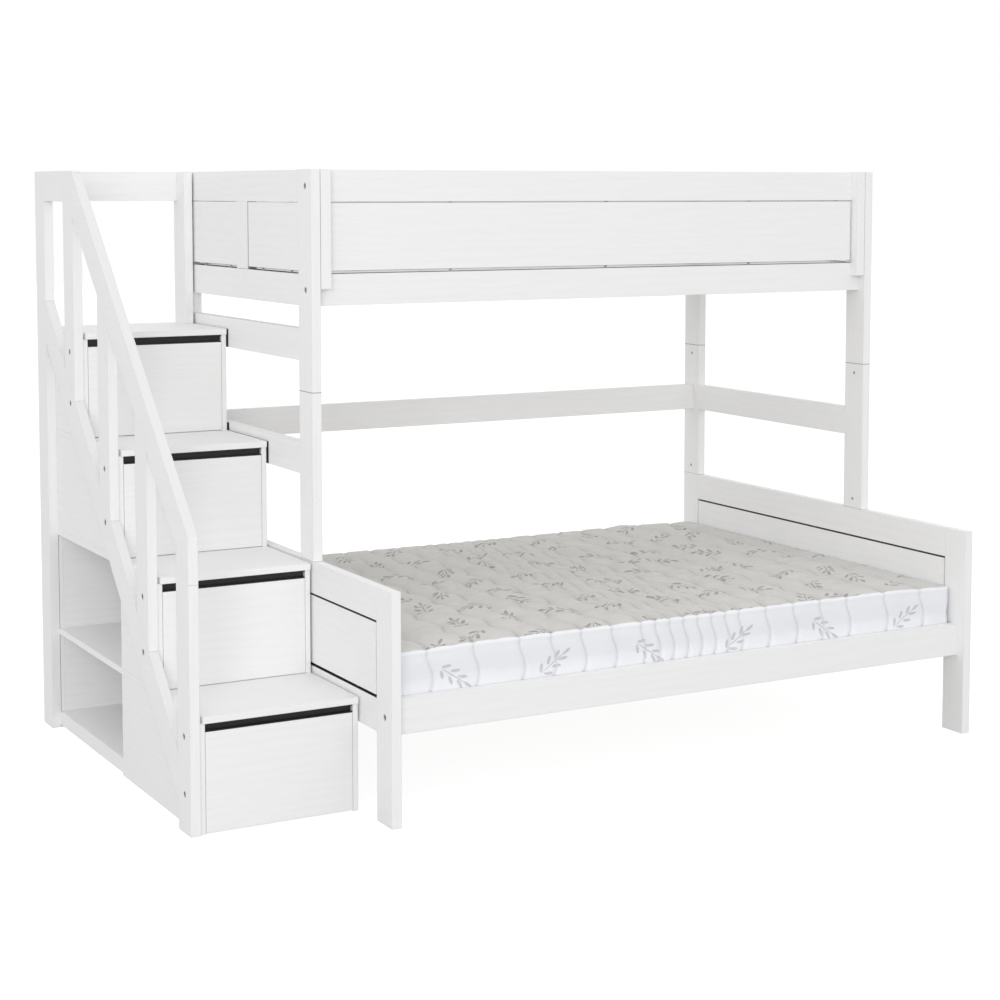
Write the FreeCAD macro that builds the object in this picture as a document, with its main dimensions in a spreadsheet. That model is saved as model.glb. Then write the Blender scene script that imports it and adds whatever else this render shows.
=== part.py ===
import FreeCAD, Part, Sketcher
import math
import os
import re

# A bunk bed on a wider lower bed, with a stair of four drawers against its left end.
# +X runs along the beds, +Y from the front to the back and +Z up. The origin is the
# centre of the footprint, on the floor.

doc = FreeCAD.newDocument("BunkBed")
sheet = doc.addObject("Spreadsheet::Sheet", "Sizes")

SIZES = {
    # timber
    "plank_thick": 28, "plank_width": 90, "side_rail_width": 95,
    # mattresses and the room around them
    "mattress_length": 1914, "mattress_width": 1412, "mattress_height": 176,
    "upper_mattress_width": 912, "end_gap": 3, "side_gap": 1.5,
    "mattress_crown": 8, "mattress_pinch": 4, "mattress_round": 30, "soft_gap": 0.3,
    # heights of the bed
    "lower_post_height": 628, "middle_post_height": 477, "upper_post_height": 623, "post_rise": 1.5,
    "under_bed": 242, "guard_base": 1346, "middle_rail_base": 869, "low_rail_base": 1191,
    # floating panels and stiles
    "panel_slot": 7, "lower_top_slot": 4, "upper_top_slot": 1.5, "panel_end_gap": 5, "stile_width": 33, "stile_base": 1394, "stile_gap": 1.5,
    "dowel_pitch": 530, "panel_dowel_radius": 4, "panel_dowel_sunk": 12, "end_dowel_inset": 80,
    # slats
    "ledge": 28, "slat_thick": 18, "slat_width": 70, "slat_inset": 25, "slat_play": 2, "beam_height": 60,
    # stair carcass
    "stair_gap": 6, "stair_width": 450, "stair_inset": 17, "landing_depth": 376,
    "tread_run": 314, "tread_rise": 312, "tread_thick": 18, "nose": 5, "notch_wide": 8, "notch_deep": 112,
    "side_thick": 15, "shelf_thick": 16, "back_thick": 5, "plinth_height": 50, "plinth_lift": 8, "corner_cut": 70, "strip_gap": 1.5,
    # balustrade
    "handrail_lift": 347, "stringer_drop": 200, "overrun": 300,
    # drawers
    "front_thick": 16, "front_gap": 1, "front_clear": 1.5, "floor_clear": 3, "grip_height": 22, "grip_wall": 3,
    "drawer_wall": 12, "drawer_base": 6, "drawer_height": 180, "drawer_play": 5, "drawer_back_gap": 20,
    "runner_lift": 20, "runner_plate": 2, "runner_web": 36, "runner_flange": 22, "slide_gap": 0.3,
    # fasteners
    "hole_gap": 0.2, "bolt_radius": 3, "head_radius": 8, "head_thick": 5, "sink_radius": 9, "sink_deep": 6,
    "rail_bolt_reach": 48, "nut_inset": 36, "nut_radius": 5, "nut_length": 20, "stud_reach": 42,
    "stud_nut_inset": 31, "frame_dowel_radius": 5, "frame_dowel_sunk": 30, "frame_dowel_offset": 25,
    "bolt_upper": 56, "bolt_lower": 209, "back_dowel_drop": 168, "back_dowel_sunk": 20, "connector_reach": 22, "spacer_radius": 16,
}

DERIVED = {
    "bed_length": "mattress_length + 2 * (end_gap + plank_thick)",
    "bed_depth": "mattress_width + 2 * side_gap + 4 * plank_thick",
    "upper_depth": "upper_mattress_width + 2 * side_gap + 4 * plank_thick",
    "overall_length": "bed_length + stair_gap + stair_width + plank_thick",
    "bed_right": "overall_length / 2",
    "bed_left": "bed_right - bed_length",
    "inner_left": "bed_left + plank_thick",
    "inner_right": "bed_right - plank_thick",
    "inner_length": "bed_length - 2 * plank_thick",
    "front": "-bed_depth / 2",
    "back": "bed_depth / 2",
    "upper_front": "back - upper_depth",
    "lower_span": "bed_depth - 2 * plank_width",
    "upper_span": "upper_depth - 2 * plank_width",
    "seam_low": "lower_post_height",
    "seam_high": "lower_post_height + middle_post_height",
    "bed_height": "seam_high + upper_post_height",
    "rail_top": "bed_height - post_rise",
    "slat_level": "under_bed + ledge",
    "upper_slat_level": "guard_base + ledge",
    "mullion_front": "(upper_front + back - plank_width) / 2",
    "lower_panel_base": "under_bed + plank_width + panel_slot",
    "lower_panel_height": "lower_post_height - plank_width - lower_top_slot - lower_panel_base",
    "upper_panel_base": "guard_base + plank_width + panel_slot",
    "upper_panel_height": "rail_top - plank_width - upper_top_slot - upper_panel_base",
    "stair_left": "-overall_length / 2",
    "carcass_left": "stair_left + plank_thick",
    "carcass_right": "carcass_left + stair_width",
    "cell_left": "carcass_left + side_thick",
    "cell_width": "stair_width - 2 * side_thick",
    "stair_depth": "3 * tread_run + landing_depth",
    "stair_back": "back - stair_inset",
    "stair_front": "stair_back - stair_depth",
    "shelf_front": "stair_front + 2 * tread_run",
    "shelf_back": "stair_back - plank_width",
    "slope": "atan(tread_rise / tread_run)",
    "landing": "4 * tread_rise",
}


def fill_sheet():
    rows = [(name, str(value)) for name, value in SIZES.items()]
    rows += [(name, "=" + text) for name, text in DERIVED.items()]
    for row, (name, text) in enumerate(rows, start=1):
        sheet.set(f"A{row}", name)
        sheet.set(f"B{row}", text)
        sheet.setAlias(f"B{row}", name)
    doc.recompute()


def bind(item, path, text):
    """Tie a property to names in the sheet."""
    item.setExpression(path, re.sub(r"\b[a-z][a-z_]+\b(?!\()", r"Sizes.\g<0>", str(text)))


def place(item, x, y, z):
    for letter, text in zip("xyz", (x, y, z)):
        bind(item, f"Placement.Base.{letter}", text)


def box(x, y, z, long, wide, high, label="plank"):
    item = doc.addObject("Part::Box", label)
    for path, text in (("Length", long), ("Width", wide), ("Height", high)):
        bind(item, path, text)
    place(item, x, y, z)
    return item


TURNS = {"X": FreeCAD.Rotation(FreeCAD.Vector(0, 1, 0), 90),
         "Y": FreeCAD.Rotation(FreeCAD.Vector(1, 0, 0), -90),
         "Z": FreeCAD.Rotation()}


def rod(axis, x, y, z, radius, length, label="rod"):
    """A cylinder that starts at x, y, z and runs along +axis."""
    item = doc.addObject("Part::Cylinder", label)
    bind(item, "Radius", radius)
    bind(item, "Height", length)
    item.Placement = FreeCAD.Placement(FreeCAD.Vector(), TURNS[axis])
    place(item, x, y, z)
    return item


def join(items, label="joined"):
    if len(items) == 1:
        return items[0]
    item = doc.addObject("Part::MultiFuse", label)
    item.Shapes = items
    return item


def cut(base, tools, label="drilled"):
    if not tools:
        return base
    item = doc.addObject("Part::Cut", label)
    item.Base = base
    item.Tool = join(tools, "holes")
    return item


def keep(base, region, label="trimmed"):
    item = doc.addObject("Part::Common", label)
    item.Base = base
    item.Tool = region
    return item


def profile(label, role, corners, length, reverse=False):
    """A body padded from one closed outline, whose corners are measured from the body's own origin."""
    body = doc.addObject("PartDesign::Body", label)
    plane = next(item for item in body.Origin.OriginFeatures if item.Role == role)
    sketch = body.newObject("Sketcher::SketchObject", f"{label}_outline")
    sketch.AttachmentSupport = (plane, [""])
    sketch.MapMode = "FlatFace"
    count = len(corners)
    spots = [FreeCAD.Vector(math.cos(index * math.tau / count), math.sin(index * math.tau / count), 0)
             for index in range(count)]
    sketch.addGeometry([Part.LineSegment(spots[index], spots[(index + 1) % count]) for index in range(count)])
    for index in range(count):
        sketch.addConstraint(Sketcher.Constraint("Coincident", index, 2, (index + 1) % count, 1))
    for index, corner in enumerate(corners):
        for kind, axis, text in (("DistanceX", -2, corner[0]), ("DistanceY", -1, corner[1])):
            if text == "0":
                sketch.addConstraint(Sketcher.Constraint("PointOnObject", index, 1, axis))
            else:
                row = sketch.addConstraint(Sketcher.Constraint(kind, -1, 1, index, 1, 1.0))
                bind(sketch, f"Constraints[{row}]", text)
    pad = body.newObject("PartDesign::Pad", f"{label}_pad")
    pad.Profile = sketch
    pad.Reversed = reverse
    bind(pad, "Length", length)
    body.Tip = pad
    return body


NODES = []


def node(name, *solids):
    """One kept sub-part: a single solid, or a group of equal ones."""
    item = solids[0]
    if len(solids) > 1:
        item = doc.addObject("Part::Compound", name)
        item.Links = list(solids)
    item.Label = name
    NODES.append(item)
    return item


fill_sheet()

ENDS = {"left": ("bed_left", 1), "right": ("inner_right", -1)}
CENTRE = "plank_thick / 2"


# ---- fasteners: each function gives the hardware and the hole that takes it ----

rail_bolts, rail_nuts, studs, stud_nuts, panel_dowels, frame_dowels = [], [], [], [], [], []


def rail_bolt(end, y, z):
    """Bolt through a post into the end of a side rail, with its barrel nut in the rail."""
    x, way = ENDS[end]
    inner = f"{x} + plank_thick" if way > 0 else x
    if way > 0:
        head = rod("X", f"{x} + sink_deep - head_thick", y, z, "head_radius", "head_thick")
        sink = rod("X", x, y, z, "sink_radius", "sink_deep")
        start = f"{x} + sink_deep"
        nut_x = f"{inner} + nut_inset"
        hole_start = start
    else:
        head = rod("X", f"{x} + plank_thick - sink_deep", y, z, "head_radius", "head_thick")
        sink = rod("X", f"{x} + plank_thick - sink_deep", y, z, "sink_radius", "sink_deep")
        start = f"{inner} - rail_bolt_reach"
        nut_x = f"{inner} - nut_inset"
        hole_start = start
    length = "plank_thick - sink_deep + rail_bolt_reach"
    shank = rod("X", start, y, z, "bolt_radius", length)
    bore = rod("X", hole_start, y, z, "bolt_radius + hole_gap", length)
    rail_bolts.append(join([head, shank], "rail_bolt"))
    nut = rod("Y", nut_x, f"{y} - nut_length / 2", z, "nut_radius", "nut_length")
    nut_hole = rod("Y", nut_x, f"{y} - nut_length / 2", z, "nut_radius", "nut_length")
    rail_nuts.append(cut(nut, [rod("X", hole_start, y, z, "bolt_radius + hole_gap", length)], "rail_nut"))
    return [sink, bore], [rod("X", hole_start, y, z, "bolt_radius + hole_gap", length), nut_hole]


def post_stud(end, y, seam, above):
    """Stud across a seam between two posts; its nut sits in the extension post."""
    x, way = ENDS[end]
    mid = f"{x} + {CENTRE}"
    nut_z = f"{seam} + stud_nut_inset" if above else f"{seam} - stud_nut_inset"
    base = f"{seam} - stud_reach"
    studs.append(rod("Z", mid, y, base, "bolt_radius", "2 * stud_reach"))
    nut_x = f"{x} + plank_thick - nut_length" if way > 0 else x
    nut = rod("X", nut_x, y, nut_z, "nut_radius", "nut_length")
    bore = ("Z", mid, y, base, "bolt_radius + hole_gap", "2 * stud_reach")
    stud_nuts.append(cut(nut, [rod(*bore)], "stud_nut"))
    return bore, ("X", nut_x, y, nut_z, "nut_radius", "nut_length")


def panel_dowel(x, y, slot_base):
    """Upright dowel across the slot between a rail and its panel."""
    spec = ("Z", x, y, f"{slot_base} - panel_dowel_sunk", "panel_dowel_radius",
            f"{SLOT_HEIGHTS.get(slot_base, 'panel_slot')} + 2 * panel_dowel_sunk")
    panel_dowels.append(rod(*spec))
    return spec


def frame_dowel_specs(x, y, rail_base):
    """Two dowels along Y across the joint of a rail and a post at y."""
    return [("Y", x, f"{y} - frame_dowel_sunk",
             f"{rail_base} + plank_width / 2 {sign} frame_dowel_offset",
             "frame_dowel_radius", "2 * frame_dowel_sunk") for sign in "+-"]


def holes(specs):
    return [rod(*spec) for spec in specs]


# ---- end frames: posts, rails and panels in the plane of each bed end ----

LOWER_SLOTS = ("under_bed + plank_width", "lower_post_height - plank_width - lower_top_slot")
UPPER_SLOTS = ("guard_base + plank_width", "rail_top - plank_width - upper_top_slot")
SLOT_HEIGHTS = {LOWER_SLOTS[1]: "lower_top_slot", UPPER_SLOTS[1]: "upper_top_slot"}
LOWER_JOINTS = ("front + plank_width", "back - plank_width")
UPPER_JOINTS = ("upper_front + plank_width", "back - plank_width")
LOWER_DOWELS = ("front + bed_depth / 2 - dowel_pitch", "front + bed_depth / 2", "front + bed_depth / 2 + dowel_pitch")
UPPER_DOWELS = ("upper_front + plank_width + end_dowel_inset", "mullion_front - panel_end_gap - end_dowel_inset",
                "mullion_front + plank_width + end_dowel_inset", "back - plank_width - panel_end_gap - end_dowel_inset")
STUD_LINES = ("upper_front + plank_width / 2", "back - plank_width / 2")
LOWER_BOLTS = (("front + 1.5 * plank_thick", "under_bed + side_rail_width / 2"),
               ("back - 1.5 * plank_thick", "under_bed + side_rail_width / 2"))
UPPER_BOLT_LEVELS = ("rail_top - plank_width / 2", "guard_base + plank_width / 2")
UPPER_BOLT_LINES = ("upper_front + 1.5 * plank_thick", "back - 1.5 * plank_thick")

# connector bolts between stair and bed: line along Y and height
CONNECTORS = (("upper_front + plank_width + 2 * nut_inset", "lower_post_height - plank_width / 2"),
              ("back - plank_width / 2", "tread_rise + tread_rise / 3"),
              ("back - plank_width / 2", "2.5 * tread_rise"))


def connector_hole(index):
    y, z = CONNECTORS[index]
    return ("X", "bed_left", y, z, "bolt_radius + hole_gap", "connector_reach")


pieces = {name: [] for name in (
    "lower_posts", "lower_end_top_rails", "lower_end_bottom_rails", "lower_end_panels", "lower_side_rails",
    "extension_posts", "end_middle_rails", "upper_posts", "upper_end_top_rails", "upper_end_bottom_rails",
    "left_low_rail", "upper_end_mullions", "upper_end_panels")}
lower_rail_holes = {line: [] for line, _ in LOWER_BOLTS}
guard_rail_holes = {(line, level): [] for line in UPPER_BOLT_LINES for level in UPPER_BOLT_LEVELS}


def bed_end(end):
    x, way = ENDS[end]
    mid = f"{x} + {CENTRE}"
    left = end == "left"

    # bolts into the side rails and guards
    post_holes = {}
    for y, z in LOWER_BOLTS:
        post_holes[y, z], rail_holes = rail_bolt(end, y, z)
        lower_rail_holes[y] += rail_holes
    for y in UPPER_BOLT_LINES:
        for z in UPPER_BOLT_LEVELS:
            post_holes[y, z], rail_holes = rail_bolt(end, y, z)
            guard_rail_holes[y, z] += rail_holes

    # dowels between rails and posts
    rails = {"lower_end_top_rails": ("lower_post_height - plank_width", LOWER_JOINTS),
             "lower_end_bottom_rails": ("under_bed", LOWER_JOINTS),
             "end_middle_rails": ("middle_rail_base", UPPER_JOINTS),
             "upper_end_top_rails": ("rail_top - plank_width", UPPER_JOINTS),
             "upper_end_bottom_rails": ("guard_base", UPPER_JOINTS)}
    if left:
        rails["left_low_rail"] = ("low_rail_base", UPPER_JOINTS)
    joints = {name: [frame_dowel_specs(mid, y, base) for y in lines] for name, (base, lines) in rails.items()}
    for pair in joints.values():
        frame_dowels.extend(holes(pair[0] + pair[1]))

    # dowels in the slots above and below the panels
    slots = {}
    for slot_base in LOWER_SLOTS:
        slots[slot_base] = [panel_dowel(mid, y, slot_base) for y in LOWER_DOWELS]
    for slot_base in UPPER_SLOTS:
        slots[slot_base] = [panel_dowel(mid, y, slot_base) for y in UPPER_DOWELS]

    # studs across the post seams
    low = [post_stud(end, y, "seam_low", True) for y in STUD_LINES]
    high = [post_stud(end, y, "seam_high", False) for y in STUD_LINES]

    def post(y, z, high_text, specs, drilled):
        return cut(box(x, y, z, "plank_thick", "plank_width", high_text), holes(specs) + drilled, "post")

    def rail(name, extra):
        base, lines = rails[name]
        span = "lower_span" if lines == LOWER_JOINTS else "upper_span"
        specs = joints[name][0] + joints[name][1] + extra
        return cut(box(x, lines[0], base, "plank_thick", span, "plank_width"), holes(specs), "rail")

    joined = [0, 1]
    lower_specs = [joints["lower_end_top_rails"][k] + joints["lower_end_bottom_rails"][k] for k in joined]
    pieces["lower_posts"].append(
        post("front", "0", "lower_post_height", lower_specs[0], post_holes[LOWER_BOLTS[0]]))
    tie = [connector_hole(1)] if left else []
    pieces["lower_posts"].append(
        post("back - plank_width", "0", "lower_post_height", lower_specs[1] + [low[1][0]] + tie,
             post_holes[LOWER_BOLTS[1]]))

    tie = [connector_hole(0)] if left else []
    pieces["lower_end_top_rails"].append(rail("lower_end_top_rails", slots[LOWER_SLOTS[1]] + [low[0][0]] + tie))
    pieces["lower_end_bottom_rails"].append(rail("lower_end_bottom_rails", slots[LOWER_SLOTS[0]]))
    pieces["lower_end_panels"].append(
        cut(box(x, "front + plank_width + panel_end_gap", "lower_panel_base", "plank_thick",
                "lower_span - 2 * panel_end_gap", "lower_panel_height"),
            holes(slots[LOWER_SLOTS[0]] + slots[LOWER_SLOTS[1]]), "panel"))

    for k, y in enumerate(("upper_front", "back - plank_width")):
        seams = [low[k][0], low[k][1], high[k][0], high[k][1]]
        tie = [connector_hole(2)] if left and k else []
        pieces["extension_posts"].append(
            post(y, "seam_low", "middle_post_height", seams + joints["end_middle_rails"][k] + tie, []))
        names = ["upper_end_top_rails", "upper_end_bottom_rails"] + (["left_low_rail"] if left else [])
        specs = [high[k][0]] + sum((joints[name][k] for name in names), [])
        bored = sum((post_holes[UPPER_BOLT_LINES[k], level] for level in UPPER_BOLT_LEVELS), [])
        pieces["upper_posts"].append(
            post(y, "seam_high", "upper_post_height", specs, bored))

    pieces["end_middle_rails"].append(rail("end_middle_rails", []))
    pieces["upper_end_top_rails"].append(rail("upper_end_top_rails", slots[UPPER_SLOTS[1]]))
    pieces["upper_end_bottom_rails"].append(rail("upper_end_bottom_rails", slots[UPPER_SLOTS[0]]))
    if left:
        pieces["left_low_rail"].append(rail("left_low_rail", []))
    pieces["upper_end_mullions"].append(
        box(x, "mullion_front", "guard_base + plank_width", "plank_thick", "plank_width",
            "rail_top - 2 * plank_width - guard_base"))
    halves = (("upper_front + plank_width", slice(0, 2)), ("mullion_front + plank_width", slice(2, 4)))
    for y, pick in halves:
        specs = slots[UPPER_SLOTS[0]][pick] + slots[UPPER_SLOTS[1]][pick]
        pieces["upper_end_panels"].append(
            cut(box(x, y, "upper_panel_base", "plank_thick",
                    "(upper_span - plank_width) / 2 - panel_end_gap", "upper_panel_height"), holes(specs), "panel"))


bed_end("left")
bed_end("right")


# ---- long rails, guards, ledges and slats ----

for y, _ in LOWER_BOLTS:
    rail = box("inner_left", f"{y} - plank_thick / 2", "under_bed", "inner_length", "plank_thick", "side_rail_width")
    pieces["lower_side_rails"].append(cut(rail, lower_rail_holes[y], "side_rail"))

for name, solids in pieces.items():
    node(name, *solids)

node("back_middle_rail", box("inner_left", "back - 2 * plank_thick", "middle_rail_base",
                             "inner_length", "plank_thick", "plank_width"))

GUARD_DOWELS = ("(bed_left + bed_right) / 2 - dowel_pitch", "(bed_left + bed_right) / 2",
                "(bed_left + bed_right) / 2 + dowel_pitch")


def guard(side, line, margin):
    """Two rails with a panel floating between them on dowels."""
    y = f"{line} - plank_thick / 2"
    low = [panel_dowel(x, line, UPPER_SLOTS[0]) for x in GUARD_DOWELS]
    high = [panel_dowel(x, line, UPPER_SLOTS[1]) for x in GUARD_DOWELS]
    rails = []
    for base, level, specs in (("guard_base", UPPER_BOLT_LEVELS[1], low),
                               ("rail_top - plank_width", UPPER_BOLT_LEVELS[0], high)):
        rail = box("inner_left", y, base, "inner_length", "plank_thick", "plank_width")
        rails.append(cut(rail, guard_rail_holes[line, level] + holes(specs), "guard_rail"))
    node(f"{side}_guard_rails", *rails)
    panel = box(f"inner_left + {margin}", y, "upper_panel_base", f"inner_length - 2 * ({margin})",
                "plank_thick", "upper_panel_height")
    node(f"{side}_guard_panel", cut(panel, holes(low + high), "guard_panel"))


guard("front", UPPER_BOLT_LINES[0], "stile_width + panel_end_gap")
guard("back", UPPER_BOLT_LINES[1], "panel_end_gap")
node("front_guard_stiles", *[box(x, "upper_front", "stile_base", "stile_width - stile_gap", "plank_thick",
                                 "bed_height - stile_base")
                             for x in ("inner_left + stile_gap", "inner_right - stile_width")])


ledges = []


def slat_bed(prefix, front, depth, base, count):
    """Ledges along both side rails and evenly spaced slats on them."""
    for y in (f"{front} + 2 * plank_thick", f"{front} + {depth} - 2 * plank_thick - ledge"):
        ledges.append(box("inner_left", y, base, "inner_length", "ledge", "ledge"))
    slats = []
    for index in range(count):
        step = f"{index} * (inner_length - 2 * slat_inset - slat_width) / {count - 1}"
        slats.append(box(f"inner_left + slat_inset + {step}", f"{front} + 2 * plank_thick + slat_play",
                         f"{base} + ledge", "slat_width", f"{depth} - 4 * plank_thick - 2 * slat_play",
                         "slat_thick", "slat"))
    node(f"{prefix}_slats", *slats)


slat_bed("lower", "front", "bed_depth", "under_bed", 14)
slat_bed("upper", "upper_front", "upper_depth", "guard_base", 14)
node("slat_ledges", *ledges)
node("lower_centre_beam", box("inner_left", "-plank_thick / 2", "slat_level - beam_height",
                              "inner_length", "plank_thick", "beam_height"))


def mattress():
    """Crowned top, drawn-in sides and rounded ends, lofted along its length."""
    length, width, high = (sheet.get(name) for name in ("mattress_length", "mattress_width", "mattress_height"))
    crown, pinch, round_off = (sheet.get(name) for name in ("mattress_crown", "mattress_pinch", "mattress_round"))

    def section(x, inset, lift):
        half = width / 2 - inset
        side = high - crown - inset
        low = FreeCAD.Vector(x, -half, inset / 2)
        corners = [low, FreeCAD.Vector(x, half, low.z), FreeCAD.Vector(x, half, side), FreeCAD.Vector(x, -half, side)]
        edges = [Part.LineSegment(corners[0], corners[1])]
        edges.append(Part.Arc(corners[1], FreeCAD.Vector(x, half - pinch, side / 2), corners[2]))
        edges.append(Part.Arc(corners[2], FreeCAD.Vector(x, 0, side + lift), corners[3]))
        edges.append(Part.Arc(corners[3], FreeCAD.Vector(x, pinch - half, side / 2), corners[0]))
        return Part.Wire([edge.toShape() for edge in edges])

    stations = [(0, round_off / 2, crown / 2), (round_off, 0, crown), (length / 2, 0, crown),
                (length - round_off, 0, crown), (length, round_off / 2, crown / 2)]
    item = doc.addObject("Part::Feature", "mattress")
    item.Shape = Part.makeLoft([section(*station) for station in stations], True, True)
    place(item, "inner_left + end_gap", "0", "slat_level + slat_thick + soft_gap")
    return node("mattress", item)


mattress()


# ---- stair: treads, boards and shelf ----

def nose_line(step):
    return f"(stair_front + {step - 1} * tread_run)"


def level(step):
    return f"({step} * tread_rise)"


STEPS = (1, 2, 3, 4)
for step in STEPS:
    base = f"{level(step)} - tread_thick"
    board = box("carcass_left", nose_line(step), base, "stair_width", f"stair_back - {nose_line(step)}", "tread_thick")
    notch = box("carcass_left", nose_line(step), base, "notch_wide", "notch_deep", "tread_thick", "notch")
    node(f"tread_{step}", cut(board, [notch], "tread"))


def stair_bolt_specs(step):
    return [(f"{nose_line(step)} + plank_width / 2", f"{level(step)} - bolt_upper"),
            (f"{nose_line(step)} + plank_width / 2", f"{level(step)} - bolt_lower")]


STAIR_BOLTS = sum((stair_bolt_specs(step) for step in STEPS), [])
BACK_DOWELS = [("X", "carcass_left - back_dowel_sunk", "stair_back - plank_width / 2",
                f"{step} * tread_rise - back_dowel_drop", "frame_dowel_radius", "back_dowel_sunk + side_thick")
               for step in (1, 3, 4)]
frame_dowels.extend(holes(BACK_DOWELS))


def bolt_bore(spot):
    y, z = spot
    return [rod("X", "stair_left", y, z, "sink_radius", "sink_deep"),
            rod("X", "stair_left", y, z, "bolt_radius + hole_gap", "plank_thick + side_thick")]


def board_bore(spot):
    y, z = spot
    return rod("X", "carcass_left", y, z, "bolt_radius + hole_gap", "side_thick")


stair_bolts = [join([rod("X", "stair_left + sink_deep - head_thick", y, z, "head_radius", "head_thick"),
                     rod("X", "stair_left + sink_deep", y, z, "bolt_radius",
                         "plank_thick + side_thick - sink_deep")], "stair_bolt")
               for y, z in STAIR_BOLTS]


def side_board(front, back, base, top, bolts=(), dowels=(), inset="0"):
    board = box(f"carcass_left + {inset}", front, base, f"side_thick - {inset}", f"{back} - ({front})",
                f"{top} - ({base})")
    return cut(board, [board_bore(spot) for spot in bolts] + holes(dowels), "board")


def corner_board():
    """Board of the second layer, with the sloping corner above the shelf opening."""
    front = f"({nose_line(2)} + nose)"
    high = "tread_rise - tread_thick"
    edge = f"shelf_front - {front}"
    board = profile("corner_board", "YZ_Plane",
                    [("0", "0"), (edge, "0"), (edge, f"{high} - corner_cut"),
                     (f"{edge} + corner_cut", high), ("0", high)], "side_thick")
    place(board, "carcass_left", front, level(1))
    return cut(board, [board_bore(spot) for spot in stair_bolt_specs(2)], "drilled_board")


left_boards = [
    side_board(f"{nose_line(1)} + nose", "shelf_front", "0", f"{level(1)} - tread_thick", stair_bolt_specs(1)),
    side_board("shelf_front", "shelf_back", "plinth_lift", "plinth_height"),
    side_board("shelf_back", "stair_back", "0", f"{level(1)} - tread_thick", dowels=BACK_DOWELS[:1], inset="strip_gap"),
    corner_board(),
    side_board("shelf_back", "stair_back", level(1), f"{level(2)} - tread_thick", inset="strip_gap"),
    side_board(f"{nose_line(3)} + nose", "stair_back", level(2), f"{level(3)} - tread_thick",
               stair_bolt_specs(3), BACK_DOWELS[1:2]),
    side_board(f"{nose_line(4)} + nose", "stair_back", level(3), f"{level(4)} - tread_thick",
               stair_bolt_specs(4), BACK_DOWELS[2:]),
]
node("stair_left_boards", *left_boards)

right_x = "carcass_right - side_thick"


def connector_bore(index):
    """Way for a connector bolt through the right-hand boards, with its head sunk on the inside."""
    y, z = CONNECTORS[index]
    return [rod("X", right_x, y, z, "sink_radius", "head_thick"),
            rod("X", right_x, y, z, "bolt_radius + hole_gap", "side_thick")]


right_boards = []
for step in STEPS:
    base = level(step - 1) if step > 1 else "0"
    board = box(right_x, f"{nose_line(step)} + nose", base, "side_thick",
                f"stair_back - {nose_line(step)} - nose", f"{level(step)} - tread_thick - {base}")
    ties = {2: connector_bore(0) + connector_bore(1), 3: connector_bore(2)}.get(step, [])
    right_boards.append(cut(board, ties, "board"))
node("stair_right_boards", *right_boards)

node("stair_floor_board", box("cell_left", f"{nose_line(1)} + nose + front_thick + front_clear",
                              "plinth_height - shelf_thick", "cell_width",
                              f"stair_back - back_thick - {nose_line(1)} - nose - front_thick - front_clear",
                              "shelf_thick"))
node("stair_partitions", *[box("cell_left", y, base, "cell_width", "side_thick", f"{top} - tread_thick - {base}")
                           for y in ("shelf_front - side_thick", "shelf_back")
                           for base, top in (("plinth_height", level(1)), (level(1), level(2)))])
node("stair_back_panels", *[box("cell_left", "stair_back - back_thick", level(step - 1) if step > 1 else "0",
                                "cell_width", "back_thick", "tread_rise - tread_thick") for step in STEPS])


# ---- stair: balustrade ----

def sloping(offset, high, label):
    """A length of timber along the pitch of the stair, its lower edge offset above the nosing line."""
    item = box("stair_left", "0", "0", "plank_thick", "2 * stair_depth", high, label)
    item.Placement.Rotation = FreeCAD.Rotation(FreeCAD.Vector(1, 0, 0), 45)
    bind(item, "Placement.Rotation.Angle", "slope")
    place(item, "stair_left", "stair_front - overrun",
          f"tread_rise + {offset} - overrun * tread_rise / tread_run")
    return item


def span_region(start, end):
    return box("stair_left", start, "-bed_height", "plank_thick", f"{end} - ({start})", "3 * bed_height", "span")


def post_blank(y, base="0", top="rail_top"):
    return box("stair_left", y, base, "plank_thick", "plank_width", f"{top} - ({base})", "post")


def bores(spots):
    return sum((bolt_bore(spot) for spot in spots), [])


node("newel_post", cut(post_blank(nose_line(1)),
                       [sloping("handrail_lift", "2 * bed_height", "above_handrail")] + bores(stair_bolt_specs(1)),
                       "newel_post"))
balusters = []
for step in (2, 3):
    trimmed = keep(post_blank(nose_line(step)), sloping("-stringer_drop", "2 * bed_height", "above_stringer"))
    balusters.append(cut(trimmed, [sloping("handrail_lift", "2 * bed_height", "above_handrail")]
                         + bores(stair_bolt_specs(step)[:1]), "baluster"))
node("stair_balusters", *balusters)
node("stair_top_post", cut(keep(post_blank(nose_line(4)), sloping("-stringer_drop", "2 * bed_height", "above")),
                           bores(stair_bolt_specs(4)[:1]), "stair_top_post"))
node("stair_back_post", cut(post_blank("stair_back - plank_width"), holes(BACK_DOWELS), "stair_back_post"))
node("handrail", keep(sloping("handrail_lift", "plank_width", "handrail_plank"),
                      span_region("stair_front", nose_line(4)), "handrail"))
stringer_plank = sloping("-stringer_drop - plank_width / cos(slope)", "plank_width", "stringer_plank")
stringer_bolts = [stair_bolt_specs(step)[1] for step in (2, 3, 4)]
node("stringer", cut(keep(stringer_plank, span_region("stair_front + plank_width", "stair_back - plank_width")),
                     bores(stringer_bolts), "stringer"))
node("stair_side_rail", box("stair_left", f"{nose_line(4)} + plank_width", "rail_top - plank_width", "plank_thick",
                            f"stair_back - 2 * plank_width - {nose_line(4)}", "plank_width"))
node("stair_back_rail", box("carcass_left", "stair_back - plank_thick", "rail_top - plank_width",
                            "stair_width - plank_thick", "plank_thick", "plank_width"))
node("landing_post", box("carcass_right - plank_thick", "stair_back - plank_width", "landing", "plank_thick",
                         "plank_width", "rail_top - landing"))


# ---- stair: drawers ----

def cell_floor(step):
    return level(step - 1) if step > 1 else "plinth_height"


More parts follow.
